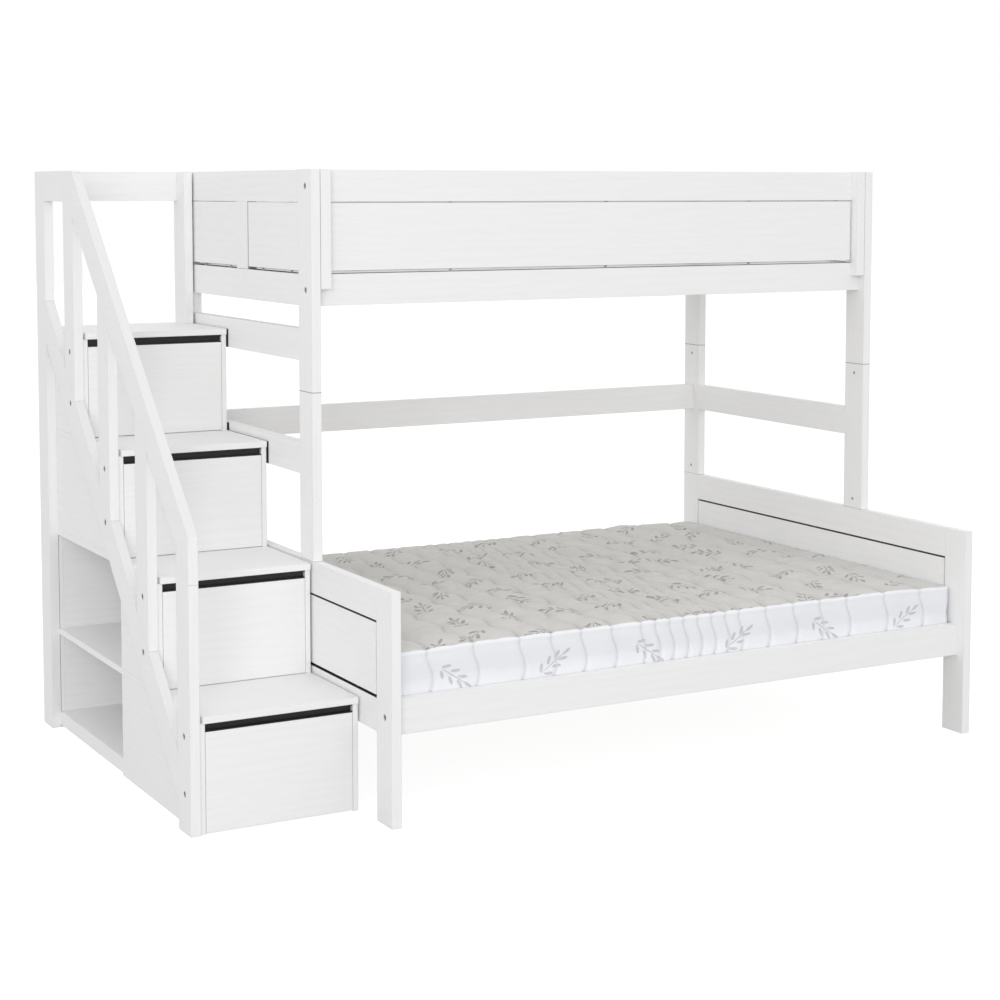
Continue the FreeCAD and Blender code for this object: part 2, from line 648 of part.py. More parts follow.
def box_end(step):
    wall = "shelf_front - side_thick" if step < 3 else "stair_back - back_thick"
    return f"{wall} - drawer_back_gap"


RUNNER_LEFT = [("0", "0"), ("runner_flange", "0"), ("runner_flange", "runner_plate"),
               ("runner_plate", "runner_plate"), ("runner_plate", "runner_web"), ("0", "runner_web")]
RUNNER_RIGHT = [("0", "0"), ("runner_flange", "0"), ("runner_flange", "runner_web"),
                ("runner_flange - runner_plate", "runner_web"),
                ("runner_flange - runner_plate", "runner_plate"), ("0", "runner_plate")]

runners = []
for step in STEPS:
    face = f"({nose_line(step)} + nose)"
    base = f"{level(step - 1)} + front_clear" if step > 1 else "floor_clear"
    top = f"{level(step)} - tread_thick - front_gap"
    node(f"drawer_{step}_front", box("cell_left + front_gap", face, base, "cell_width - 2 * front_gap",
                                     "front_thick", f"{top} - grip_height - ({base})"))
    grip = profile(f"grip_{step}", "YZ_Plane",
                   [("0", "0"), ("front_thick", "0"), ("front_thick", "grip_height"), ("0", "grip_height"),
                    ("0", "grip_height - grip_wall"), ("front_thick - grip_wall", "grip_height - grip_wall"),
                    ("front_thick - grip_wall", "grip_wall"), ("0", "grip_wall")], "cell_width - 2 * front_gap")
    place(grip, "cell_left + front_gap", face, f"{top} - grip_height")
    node(f"drawer_{step}_grip", grip)

    x = "cell_left + drawer_play"
    y = f"({face} + front_thick)"
    z = f"({cell_floor(step)} + runner_lift)"
    wide = "(cell_width - 2 * drawer_play)"
    deep = f"({box_end(step)} - {y})"
    node(f"drawer_{step}_box",
         box(x, y, z, wide, deep, "drawer_base"),
         box(x, y, f"{z} + drawer_base", "drawer_wall", deep, "drawer_height - drawer_base"),
         box(f"{x} + {wide} - drawer_wall", y, f"{z} + drawer_base", "drawer_wall", deep,
             "drawer_height - drawer_base"),
         box(f"{x} + drawer_wall", y, f"{z} + drawer_base", f"{wide} - 2 * drawer_wall", "drawer_wall",
             "drawer_height - drawer_base"),
         box(f"{x} + drawer_wall", f"{box_end(step)} - drawer_wall", f"{z} + drawer_base",
             f"{wide} - 2 * drawer_wall", "drawer_wall", "drawer_height - drawer_base"))

    run_y = f"{y} + front_clear"
    run_long = f"{deep} - front_clear"
    shelf_z = f"{z} - slide_gap - runner_plate"
    for side, start, corners in (("left", "cell_left", RUNNER_LEFT),
                                 ("right", "cell_left + cell_width - runner_flange", RUNNER_RIGHT)):
        runner = profile(f"runner_{step}_{side}", "XZ_Plane", corners, run_long, reverse=True)
        place(runner, start, run_y, shelf_z)
        runners.append(runner)
node("drawer_runners", *runners)


# ---- fasteners as kept groups ----

connector_bolts = []
for y, z in CONNECTORS:
    connector_bolts.append(join([rod("X", right_x, y, z, "head_radius", "head_thick"),
                                 rod("X", f"{right_x} + head_thick", y, z, "bolt_radius",
                                     "side_thick - head_thick + stair_gap + connector_reach")], "connector_bolt"))
node("stair_spacers", *[cut(rod("X", "carcass_right", y, z, "spacer_radius", "stair_gap"),
                            [rod("X", "carcass_right", y, z, "bolt_radius + hole_gap", "stair_gap")], "spacer")
                        for y, z in CONNECTORS])
node("frame_bolts", *rail_bolts, *stair_bolts, *connector_bolts)
node("post_studs", *studs)
node("barrel_nuts", *rail_nuts, *stud_nuts)
node("dowels", *panel_dowels, *frame_dowels)


# ---- check and write ----

doc.recompute()
failed = [item.Label for item in doc.Objects if {"Invalid", "Error"} & set(item.State)]
bad = [item.Label for item in NODES if item.Shape.isNull() or not item.Shape.isValid()]
if failed or bad:
    raise SystemExit(f"failed objects: {failed}; bad shapes: {bad}")

os.makedirs("parts", exist_ok=True)
for item in NODES:
    item.Shape.exportStep(f"parts/{item.Label}.step")
box_all = Part.makeCompound([item.Shape for item in NODES]).BoundBox
print(len(NODES), "nodes,", sum(len(item.Shape.Solids) for item in NODES), "solids,", box_all)
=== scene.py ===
import bmesh
import bpy
import math
import numpy as np
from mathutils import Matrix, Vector


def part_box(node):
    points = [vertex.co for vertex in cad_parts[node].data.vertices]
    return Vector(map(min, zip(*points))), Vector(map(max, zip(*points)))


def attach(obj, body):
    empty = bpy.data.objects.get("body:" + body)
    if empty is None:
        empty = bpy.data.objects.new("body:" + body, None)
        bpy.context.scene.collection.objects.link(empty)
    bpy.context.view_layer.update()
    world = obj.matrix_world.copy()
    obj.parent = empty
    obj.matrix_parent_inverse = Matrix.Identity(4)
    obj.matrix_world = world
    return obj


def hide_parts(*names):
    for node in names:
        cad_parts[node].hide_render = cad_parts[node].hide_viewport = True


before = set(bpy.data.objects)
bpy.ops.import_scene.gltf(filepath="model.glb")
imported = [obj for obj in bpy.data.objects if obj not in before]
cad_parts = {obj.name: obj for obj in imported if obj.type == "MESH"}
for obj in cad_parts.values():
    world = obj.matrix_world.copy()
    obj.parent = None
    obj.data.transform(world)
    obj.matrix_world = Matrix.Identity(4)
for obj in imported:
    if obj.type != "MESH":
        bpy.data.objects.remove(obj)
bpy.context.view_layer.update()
print("frame loaded:", len(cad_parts), "nodes")
scene = bpy.context.scene
white = (1.0, 1.0, 1.0, 1.0)


viewpoint = {
    "place": (-3.0104, -5.4442, 1.6682),
    "down": 4.493,        # degrees below level
    "turn": 28.927,       # degrees to the right of +Y
    "lens": 72.98, "sensor": 36.0,
    "shift": -0.15,
    "near": 0.1, "far": 100.0,
}


def setCamera(v):
    # stands at its place, tipped below level and turned right of +Y; the shift slides the picture
    data = bpy.data.cameras.new("camera")
    data.lens, data.sensor_width, data.shift_y = v["lens"], v["sensor"], v["shift"]
    data.clip_start, data.clip_end = v["near"], v["far"]
    camera = bpy.data.objects.new("camera", data)
    camera.location = v["place"]
    camera.rotation_euler = (math.radians(90 - v["down"]), 0.0, -math.radians(v["turn"]))
    scene.collection.objects.link(camera)
    scene.camera = camera


def feed(tree, socket, source):
    # a socket takes another socket or a plain value
    if isinstance(source, bpy.types.NodeSocket):
        tree.links.new(source, socket)
    elif source is not None:
        socket.default_value = source


def addNode(tree, kind, settings=None, **inputs):
    # one shader node with its settings and its named inputs
    node = tree.nodes.new(f"ShaderNode{kind}")
    for key, value in (settings or {}).items():
        setattr(node, key, value)
    for key, source in inputs.items():
        feed(tree, node.inputs[key], source)
    return node


def calc(tree, operation, *values):
    # one Math node; returns its value
    node = addNode(tree, "Math", {"operation": operation})
    for socket, value in zip(node.inputs, values):
        feed(tree, socket, value)
    return node.outputs[0]


def vecCalc(tree, operation, *values):
    # one Vector Math node; returns its number for a length, and else its vector
    node = addNode(tree, "VectorMath", {"operation": operation})
    for socket, value in zip(node.inputs, values):
        feed(tree, socket, value)
    return node.outputs["Value" if operation in ("LENGTH", "DOT_PRODUCT") else "Vector"]


def weighed(tree, start, *shares):
    # the start plus a share of each value
    total = start
    for value, share in shares:
        total = calc(tree, "MULTIPLY_ADD", value, share, total)
    return total


def highest(tree, values):
    # the largest of several values
    best = values[0]
    for value in values[1:]:
        best = calc(tree, "MAXIMUM", best, value)
    return best


def ramp(tree, value, low, high, toLow=0.0, toHigh=1.0):
    # smooth step from toLow to toHigh between two values
    node = addNode(tree, "MapRange", {"interpolation_type": "SMOOTHSTEP"})
    for key, number in zip(("Value", "From Min", "From Max", "To Min", "To Max"),
                           (value, low, high, toLow, toHigh)):
        feed(tree, node.inputs[key], number)
    return node.outputs["Result"]


def tintMix(tree, factor, a, b):
    # colour a where the factor is 0 and colour b where it is 1
    node = addNode(tree, "Mix", {"data_type": "RGBA"})
    for index, source in ((0, factor), (6, a), (7, b)):
        feed(tree, node.inputs[index], source)
    return node.outputs[2]


def axisOf(tree, vector, axis):
    # one coordinate of a vector
    return addNode(tree, "SeparateXYZ", Vector=vector).outputs[axis]


def objectPlace(tree):
    # where a point lies in the shared frame, because every object sits at the origin
    return tree.nodes.new("ShaderNodeTexCoord").outputs["Object"]


def faceWay(tree, axis):
    # how far a face looks along an axis, from -1 to 1
    return axisOf(tree, tree.nodes.new("ShaderNodeNewGeometry").outputs["True Normal"], axis)


def bumped(tree, height, distance, strength, normal=None):
    # the normal of a surface raised by the height times the distance
    return addNode(tree, "Bump", Height=height, Normal=normal, Distance=distance,
                   Strength=strength).outputs["Normal"]


def seenOrGiven(tree, seen, given):
    # one value where the camera looks straight at the surface, another for all other rays
    direct = tree.nodes.new("ShaderNodeLightPath").outputs["Is Camera Ray"]
    return calc(tree, "MULTIPLY_ADD", direct, seen - given, given)


studio = {
    "skyLight": 0.95, "skySeen": 1.0,        # the white sky: what it gives, and what the camera sees of it
    "keyPlace": (-6.4, -9.7, 3.3), "keyAim": (0.2, 0.0, 0.9), "keySize": 5.0, "keyPower": 336.0,
    "topPlace": (-0.5, -0.5, 7.0), "topAim": (-0.5, -0.3, 0.5), "topSize": 5.0, "topPower": 25.0,
    "floorSize": 60.0, "floorTone": 0.25, "floorShade": 0.2525, "floorCloud": 1.5, "floorRough": 0.9,
    "floorGlow": 0.334, "floorSeen": 0.88,   # as the sky: what it gives, and what the camera sees of it
}


def setStudio(s):
    # a white sky, two square lamps that face their aims, and a flat floor, which it returns
    world = bpy.data.worlds.new("studioSky")
    world.use_nodes = True
    sky = world.node_tree
    background = sky.nodes["Background"]
    feed(sky, background.inputs["Color"], white)
    feed(sky, background.inputs["Strength"], seenOrGiven(sky, s["skySeen"], s["skyLight"]))
    scene.world = world
    scene.view_settings.view_transform = "Standard"
    for name in ("key", "top"):
        light = bpy.data.lights.new(f"{name}Light", "AREA")
        light.size, light.energy = s[f"{name}Size"], s[f"{name}Power"]
        lamp = bpy.data.objects.new(f"{name}Light", light)
        lamp.location = s[f"{name}Place"]
        aim = Vector(s[f"{name}Aim"]) - Vector(s[f"{name}Place"])
        lamp.rotation_euler = aim.to_track_quat("-Z", "Y").to_euler()
        scene.collection.objects.link(lamp)
    half = s["floorSize"] / 2
    mesh = bpy.data.meshes.new("floor")
    mesh.from_pydata([(-half, -half, 0), (half, -half, 0), (half, half, 0), (-half, half, 0)], [],
                     [(0, 1, 2, 3)])
    floor = bpy.data.objects.new("floor", mesh)
    scene.collection.objects.link(floor)
    return floor


def newGroup(name, inputs, outputs):
    # an empty node group with its named sockets, and the nodes at its two ends
    group = bpy.data.node_groups.new(name, "ShaderNodeTree")
    for label, kind, value in inputs:
        socket = group.interface.new_socket(label, in_out="INPUT", socket_type=f"NodeSocket{kind}")
        if value is not None:
            socket.default_value = value
    for label, kind in outputs:
        group.interface.new_socket(label, in_out="OUTPUT", socket_type=f"NodeSocket{kind}")
    return group, group.nodes.new("NodeGroupInput"), group.nodes.new("NodeGroupOutput")


pineFigure = {
    "bandPitch": 0.022, "knotPitch": 0.34, "knotSqueeze": (0.62, 1.0, 1.0),
    "knotCore": 0.004, "knotRim": 0.016, "swirlReach": 0.07, "swirlPush": 0.02,
    "driftScale": (0.9, 5.0, 5.0), "driftDetail": 3.0, "driftRough": 0.5, "driftPush": 0.11, "slant": 0.83,
    "fibreScale": (9.0, 420.0, 420.0), "fibreDetail": 4.0, "fibreRough": 0.62,
    "fibreHigh": 0.7, "bandHigh": 0.3, "knotLow": 0.5,
}


def buildPineFigure(f):
    # Grain along the vector's X. A knot is where the nearest of scattered points is close, in a space squeezed
    # along the grain; bands are a sine of the way across, pushed aside by noise and by the knots; fibres are
    # noise drawn out along the grain.
    tree, source, result = newGroup(
        "pineFigure",
        [("Vector", "Vector", None), ("Band Pitch", "Float", f["bandPitch"]),
         ("Knot Pitch", "Float", f["knotPitch"])],
        [("Fibre", "Float"), ("Band", "Float"), ("Knot", "Float"), ("Height", "Float")])
    vector, bandPitch, knotPitch = [source.outputs[label] for label in ("Vector", "Band Pitch", "Knot Pitch")]
    near = addNode(tree, "TexVoronoi", {"feature": "F1"}, Randomness=1.0,
                   Vector=vecCalc(tree, "MULTIPLY", vector, f["knotSqueeze"]),
                   Scale=calc(tree, "DIVIDE", 1.0, knotPitch))
    reach = calc(tree, "MULTIPLY", near.outputs["Distance"], knotPitch)
    knot = ramp(tree, reach, f["knotCore"], f["knotRim"], 1.0, 0.0)
    swirl = ramp(tree, reach, 0.0, f["swirlReach"], 1.0, 0.0)
    drift = addNode(tree, "TexNoise", Vector=vecCalc(tree, "MULTIPLY", vector, f["driftScale"]), Scale=1.0,
                    Detail=f["driftDetail"], Roughness=f["driftRough"]).outputs["Fac"]
    across = weighed(tree, axisOf(tree, vector, "Y"), (axisOf(tree, vector, "Z"), f["slant"]),
                     (drift, f["driftPush"]), (swirl, f["swirlPush"]))
    wave = calc(tree, "SINE", calc(tree, "DIVIDE", calc(tree, "MULTIPLY", across, math.tau), bandPitch))
    band = calc(tree, "MULTIPLY_ADD", wave, 0.5, 0.5)
    fibre = addNode(tree, "TexNoise", Vector=vecCalc(tree, "MULTIPLY", vector, f["fibreScale"]), Scale=1.0,
                    Detail=f["fibreDetail"], Roughness=f["fibreRough"]).outputs["Fac"]
    height = weighed(tree, 0.0, (fibre, f["fibreHigh"]), (band, f["bandHigh"]), (knot, -f["knotLow"]))
    for label, value in (("Fibre", fibre), ("Band", band), ("Knot", knot), ("Height", height)):
        feed(tree, result.inputs[label], value)
    return tree


roundedEdge = {"radius": 0.002, "samples": 6, "turned": 0.80, "flat": 0.995}    # cosines of the bevel's turn


def buildRoundedEdge(f):
    # the normal of a slightly rounded edge, and a mask that is 1 where it turns away from the flat face
    tree, source, result = newGroup("roundedEdge", [("Radius", "Float", f["radius"])],
                                    [("Normal", "Vector"), ("Edge", "Float")])
    bevel = addNode(tree, "Bevel", {"samples": f["samples"]}, Radius=source.outputs["Radius"]).outputs["Normal"]
    plain = tree.nodes.new("ShaderNodeNewGeometry").outputs["True Normal"]
    alike = vecCalc(tree, "DOT_PRODUCT", bevel, plain)
    feed(tree, result.inputs["Normal"], bevel)
    feed(tree, result.inputs["Edge"], ramp(tree, alike, f["turned"], f["flat"], 1.0, 0.0))
    return tree


handling = {"size": 0.3, "detail": 4.0, "rough": 0.55, "low": 0.3, "high": 0.7}


def buildHandling(f):
    # cloudy variation left by hands and wiping: noise stretched to run from 0 to 1
    tree, source, result = newGroup("handling", [("Vector", "Vector", None), ("Size", "Float", f["size"])],
                                    [("Cloud", "Float")])
    noise = addNode(tree, "TexNoise", Vector=source.outputs["Vector"], Detail=f["detail"], Roughness=f["rough"],
                    Scale=calc(tree, "DIVIDE", 1.0, source.outputs["Size"])).outputs["Fac"]
    feed(tree, result.inputs["Cloud"], ramp(tree, noise, f["low"], f["high"]))
    return tree


sprig = {
    "leaves": ((-0.030, 0.011, 42), (-0.026, -0.012, -40), (-0.004, 0.013, 38), (0.001, -0.013, -36),
               (0.021, 0.010, 30), (0.025, -0.009, -28), (0.042, 0.0, 0)),      # along, across, degrees
    "leafLength": 0.021, "leafSlim": 2.9, "leafInner": 0.50, "leafOuter": 0.62,
    "stemSlim": 26.0, "stemInner": 0.036, "stemOuter": 0.044,
}


def buildSprig(f):
    # a printed twig round the origin of a flat vector: each leaf and the stem is an ellipse, a length in a
    # space that is squeezed across it
    tree, source, result = newGroup("sprig", [("Vector", "Vector", None), ("Leaf", "Float", f["leafLength"])],
                                    [("Mask", "Float")])
    vector, shapes = source.outputs["Vector"], []
    for along, across, turn in f["leaves"]:
        turned = addNode(tree, "VectorRotate", {"rotation_type": "Z_AXIS"}, Angle=-math.radians(turn),
                         Vector=vecCalc(tree, "SUBTRACT", vector, (along, across, 0.0))).outputs["Vector"]
        length = vecCalc(tree, "LENGTH", vecCalc(tree, "MULTIPLY", turned, (1.0, f["leafSlim"], 0.0)))
        reach = calc(tree, "DIVIDE", length, source.outputs["Leaf"])
        shapes.append(ramp(tree, reach, f["leafInner"], f["leafOuter"], 1.0, 0.0))
    stem = vecCalc(tree, "LENGTH", vecCalc(tree, "MULTIPLY", vector, (1.0, f["stemSlim"], 0.0)))
    shapes.append(ramp(tree, stem, f["stemInner"], f["stemOuter"], 1.0, 0.0))
    feed(tree, result.inputs["Mask"], highest(tree, shapes))
    return tree


groups = {"pine": buildPineFigure(pineFigure), "edge": buildRoundedEdge(roundedEdge),
          "handling": buildHandling(handling), "sprig": buildSprig(sprig)}
print("shader groups built")


def useGroup(tree, key, **inputs):
    # places a group with its own values; returns its outputs
    node = tree.nodes.new("ShaderNodeGroup")
    node.node_tree = groups[key]
    for label, source in inputs.items():
        feed(tree, node.inputs[label], source)
    return node.outputs


def startMaterial(name):
    # a new material, its nodes and its shader
    material = bpy.data.materials.new(name)
    material.use_nodes = True
    return material, material.node_tree, material.node_tree.nodes["Principled BSDF"]


def dress(tree, shader, colour, roughness, normal=None):
    # drives the sockets that vary over a surface
    for label, source in (("Base Color", colour), ("Roughness", roughness), ("Normal", normal)):
        feed(tree, shader.inputs[label], source)


planks = {
    "edgeRadius": 0.0022, "cloudSize": 0.22, "spread": (1.0, 0.37, 0.61),
    "fibreFrom": 0.42, "fibreTo": 0.72, "fibreShare": 0.75,
    "bandFrom": 0.35, "bandTo": 1.0, "bandLeast": 0.15, "bandShare": 0.5, "knotShare": 0.7, "edgeShare": 0.7,
    "fibreRough": 0.14, "cloudRough": 0.08, "bump": 0.6, "specular": 0.3,
}
limedPine = planks | {
    "tone": (0.875, 0.875, 0.875, 1.0), "fibreTone": (0.835, 0.835, 0.834, 1.0),
    "bandTone": (0.845, 0.845, 0.844, 1.0), "knotTone": (0.66, 0.66, 0.655, 1.0),
    # edgeTone: on the limed pine a painted highlight, its rounded edges painted lighter
    "edgeTone": (0.91, 0.91, 0.91, 1.0), "roughness": 0.4, "grainDepth": 0.00035,
    "deepTone": (0.06, 0.06, 0.06, 1.0),       # painted shade in slots, in the gap beside the stair, on flanks and on slopes; dark joint lines at the seams
    "slots": ((0.332, 0.339), (0.534, 0.538), (1.436, 1.443)), "topSlot": ((1.635, 1.6365),),   # by height
    "slotMargin": 0.0012, "seams": (0.628, 1.105), "seamWidth": 0.0013, "seamShade": 0.75,
    # where the painted shade beside the stair falls: tread noses and heights, the rails' outer face, and its blurs
    "treads": ((0.0565, 0.936), (0.3705, 1.248)),    # nose along Y and height of treads 3 and 4
    "noseBlur": (0.001, 0.003), "treadBlur": 0.002, "outerFace": -0.746, "faceBlur": (0.001, 0.003),
    "outward": (-0.9, -0.7), "sideways": (0.7, 0.9), "upward": (0.3, 0.6),    # parts of the face's normal
    "flankShade": 0.6, "slopeShade": 0.145,
}
planedPine = planks | {
    "tone": (0.86, 0.845, 0.815, 1.0), "fibreTone": (0.81, 0.79, 0.75, 1.0),
    "bandTone": (0.79, 0.76, 0.71, 1.0), "knotTone": (0.45, 0.36, 0.28, 1.0),
    "edgeTone": (0.85, 0.83, 0.79, 1.0), "roughness": 0.5, "grainDepth": 0.0005,
}


def heightBands(tree, place, bands, margin):
    # 1 where the height lies in one of the bands, falling to 0 within the margin of it
    height = axisOf(tree, place, "Z")
    masks = []
    for low, high in bands:
        away = calc(tree, "ABSOLUTE", calc(tree, "SUBTRACT", height, (low + high) / 2))
        masks.append(ramp(tree, away, (high - low) / 2 + margin * 0.5, (high - low) / 2 + margin, 1.0, 0.0))
    return highest(tree, masks)


def gapShade(tree, f, place):
    # painted shade on the outer face of these rails where the stair stands close to it, behind its noses and under
    # its treads
    x, y, z = [axisOf(tree, place, axis) for axis in "XYZ"]
    (before, behind), (shallow, deep) = f["noseBlur"], f["faceBlur"]
    tucked = highest(tree, [calc(tree, "MULTIPLY", ramp(tree, y, nose - before, nose + behind),
                                 ramp(tree, z, top - f["treadBlur"], top, 1.0, 0.0)) for nose, top in f["treads"]])
    outward = ramp(tree, faceWay(tree, "X"), *f["outward"], 1.0, 0.0)
    outermost = ramp(tree, x, f["outerFace"] + shallow, f["outerFace"] + deep, 1.0, 0.0)
    return calc(tree, "MULTIPLY", tucked, calc(tree, "MULTIPLY", outward, outermost))


def darkening(tree, f, kind, place):
    # how far the deep tone covers: painted shade in slots, in the gap beside the stair, on flanks and on slopes; dark
    # joint lines at seams
    # painted shade at the bottom of the slots, picked out by height
    if kind in ("slots", "allSlots"):
        return heightBands(tree, place, f["slots"] + (f["topSlot"] if kind == "allSlots" else ()), f["slotMargin"])
    if kind == "seams":
        lines = heightBands(tree, place, [(z, z) for z in f["seams"]], f["seamWidth"])
        return calc(tree, "MULTIPLY", lines, f["seamShade"])
    # painted shade in the gap beside the stair
    if kind == "gap":
        return gapShade(tree, f, place)
    if kind == "flanks":       # painted shade: the two faces that look along Y lie in narrow slots
        sideways = ramp(tree, calc(tree, "ABSOLUTE", faceWay(tree, "Y")), *f["sideways"])
        return calc(tree, "MULTIPLY", sideways, f["flankShade"])
    # painted shade: faces that look upwards, the sloped tops of the handrail and stringer, are made greyer
    return calc(tree, "MULTIPLY", ramp(tree, faceWay(tree, "Z"), *f["upward"]), f["slopeShade"])


def pineMaterial(name, f, turn=(0.0, 0.0, 0.0), offset=0.0, shaded=None):
    # Pine tone, tinted by fibres, by bands that come and go, by knots and at the rounded edges: painted lighter on
    # the limed pine as a painted highlight, a little darker on the planed pine. Where shaded is given, the deep tone
    # adds painted shade to slots, the gap beside the stair, flanks or slopes, or dark joint lines at seams. The turn
    # brings the grain of these planks onto the texture's X axis, and the offset slides them to their own piece of it.
    material, tree, shader = startMaterial(name)
    place = objectPlace(tree)
    grain = addNode(tree, "Mapping", Vector=place, Rotation=tuple(math.radians(a) for a in turn),
                    Location=tuple(offset * share for share in f["spread"])).outputs["Vector"]
    figure = useGroup(tree, "pine", Vector=grain)
    edge = useGroup(tree, "edge", Radius=f["edgeRadius"])
    cloud = useGroup(tree, "handling", Vector=grain, Size=f["cloudSize"])["Cloud"]
    fibre = ramp(tree, figure["Fibre"], f["fibreFrom"], f["fibreTo"])
    band = calc(tree, "MULTIPLY", ramp(tree, figure["Band"], f["bandFrom"], f["bandTo"]),
                weighed(tree, f["bandLeast"], (cloud, f["bandShare"])))
    colour = tintMix(tree, calc(tree, "MULTIPLY", fibre, f["fibreShare"]), f["tone"], f["fibreTone"])
    colour = tintMix(tree, band, colour, f["bandTone"])
    colour = tintMix(tree, calc(tree, "MULTIPLY", figure["Knot"], f["knotShare"]), colour, f["knotTone"])
    # painted highlight: the limed pine's rounded edges are painted lighter; on the planed pine they come out a little
    # darker
    colour = tintMix(tree, calc(tree, "MULTIPLY", edge["Edge"], f["edgeShare"]), colour, f["edgeTone"])
    # painted shade in the deep tone, and at seams dark joint lines
    if shaded:
        colour = tintMix(tree, darkening(tree, f, shaded, place), colour, f["deepTone"])
    dress(tree, shader, colour,
          weighed(tree, f["roughness"], (cloud, f["cloudRough"]), (figure["Fibre"], f["fibreRough"])),
          bumped(tree, figure["Height"], f["grainDepth"], f["bump"], edge["Normal"]))
    shader.inputs["Specular IOR Level"].default_value = f["specular"]
    return material


gripFinish = {
    "tone": (0.012, 0.012, 0.013, 1.0), "wornTone": (0.045, 0.045, 0.047, 1.0), "roughness": 0.32,
    "edgeRadius": 0.0006, "cloudSize": 0.08, "lineScale": (6.0, 900.0, 900.0), "lineDetail": 3.0,
    "lineDepth": 0.0001, "bump": 0.4, "wornLeast": 0.3, "wornShare": 0.6, "cloudRough": 0.1, "lineRough": 0.12,
}


def gripMaterial(f):
    # extruded black profile: noise drawn out along its length as fine lines, edges rubbed slightly paler
    material, tree, shader = startMaterial("blackGrip")
    place = objectPlace(tree)
    drawn = addNode(tree, "Mapping", Vector=place, Scale=f["lineScale"]).outputs["Vector"]
    lines = addNode(tree, "TexNoise", Vector=drawn, Scale=1.0, Detail=f["lineDetail"]).outputs["Fac"]
    edge = useGroup(tree, "edge", Radius=f["edgeRadius"])
    cloud = useGroup(tree, "handling", Vector=place, Size=f["cloudSize"])["Cloud"]
    worn = calc(tree, "MULTIPLY", edge["Edge"], weighed(tree, f["wornLeast"], (cloud, f["wornShare"])))
    dress(tree, shader, tintMix(tree, worn, f["tone"], f["wornTone"]),
          weighed(tree, f["roughness"], (cloud, f["cloudRough"]), (lines, f["lineRough"])),
          bumped(tree, lines, f["lineDepth"], f["bump"], edge["Normal"]))
    return material


plating = {"edgeRadius": 0.0005, "cloudSize": 0.03, "cellScale": 320.0, "cloudRough": 0.12, "cellRough": 0.2}
metalFinishes = {
    "zincBolts": plating | {"tone": (0.50, 0.50, 0.51, 1.0), "dull": (0.38, 0.38, 0.39, 1.0), "roughness": 0.34},
    "pressedRunners": plating | {"tone": (0.66, 0.66, 0.67, 1.0), "dull": (0.50, 0.50, 0.51, 1.0),
                                 "roughness": 0.25},
}


def metalMaterial(name, f):
    # plated steel: crystals of the plating as small cells in its roughness, duller in clouds
    material, tree, shader = startMaterial(name)
    place = objectPlace(tree)
    cells = addNode(tree, "TexVoronoi", Vector=place, Scale=f["cellScale"]).outputs["Distance"]
    cloud = useGroup(tree, "handling", Vector=place, Size=f["cloudSize"])["Cloud"]
    dress(tree, shader, tintMix(tree, cloud, f["tone"], f["dull"]),
          weighed(tree, f["roughness"], (cloud, f["cloudRough"]), (cells, f["cellRough"])),
          useGroup(tree, "edge", Radius=f["edgeRadius"])["Normal"])
    shader.inputs["Metallic"].default_value = 1.0
    return material


spacerFinish = {"tone": (0.55, 0.55, 0.55, 1.0), "shade": (0.48, 0.48, 0.48, 1.0), "roughness": 0.4,
                "edgeRadius": 0.0008, "cloudSize": 0.02, "cloudRough": 0.15}


def spacerMaterial(f):
    # pale moulded spacers, clouded between two greys
    material, tree, shader = startMaterial("paleSpacer")
    cloud = useGroup(tree, "handling", Vector=objectPlace(tree), Size=f["cloudSize"])["Cloud"]
    dress(tree, shader, tintMix(tree, cloud, f["tone"], f["shade"]),
          weighed(tree, f["roughness"], (cloud, f["cloudRough"])),
          useGroup(tree, "edge", Radius=f["edgeRadius"])["Normal"])
    return material


def floorMaterial(s):
    # a matt floor that hardly varies and glows enough to meet the white sky
    material, tree, shader = startMaterial("studioFloor")
    cloud = useGroup(tree, "handling", Vector=objectPlace(tree), Size=s["floorCloud"])["Cloud"]
    tone, shade = [(s[key],) * 3 + (1.0,) for key in ("floorTone", "floorShade")]
    dress(tree, shader, tintMix(tree, cloud, tone, shade), s["floorRough"])
    shader.inputs["Specular IOR Level"].default_value = 0.0
    shader.inputs["Emission Color"].default_value = white
    feed(tree, shader.inputs["Emission Strength"], seenOrGiven(tree, s["floorSeen"], s["floorGlow"]))
    return material


coverFinish = {
    "topTone": (0.65, 0.638, 0.614, 1.0), "topShade": (0.585, 0.573, 0.55, 1.0),
    "sideTone": (0.85, 0.862, 0.888, 1.0), "sideShade": (0.81, 0.822, 0.846, 1.0),
    "knitPitch": 0.0024, "knitShade": 0.3, "knitHigh": 0.25, "knitRough": 0.08, "cloudSize": 0.12, "cloudShade": 0.5,
    "printTone": (0.17, 0.17, 0.175, 1.0), "printPitch": 0.18, "printSize": 1.25, "printScatter": 0.45,
    "topPrint": 0.66, "sidePrint": 0.40, "rowPitch": 0.31, "rowTurn": 38.0,
    "inkScale": 160.0, "inkDetail": 2.0, "inkFrom": 0.30, "inkTo": 0.55, "inkLeast": 0.55,
    # painted shade along the stitched creases: the tones it darkens to, its reach and its strength
    "topCrease": (0.44, 0.43, 0.41, 1.0), "sideCrease": (0.68, 0.695, 0.73, 1.0),
    "creaseReach": 0.0065, "creaseShade": 0.6,
    "threadTone": (0.84, 0.83, 0.81, 1.0), "threadInner": 0.0006, "threadOuter": 0.0014, "threadHigh": 0.8,
    "dashPitch": 0.009, "dashFrom": -0.5, "dashTo": -0.1,
    "roughness": 0.82, "depth": 0.0012, "bump": 0.7, "sheen": 0.12, "specular": 0.2,
}


def scatteredPrint(tree, f, flat):
    # one twig in each cell of scattered points, each turned its own way
    cells = addNode(tree, "TexVoronoi", {"voronoi_dimensions": "2D"}, Vector=flat, Scale=1.0 / f["printPitch"],
                    Randomness=f["printScatter"]).outputs
    chance = addNode(tree, "SeparateColor", Color=cells["Color"]).outputs["Red"]
    return vecCalc(tree, "SUBTRACT", flat, cells["Position"]), calc(tree, "MULTIPLY", chance, math.tau)


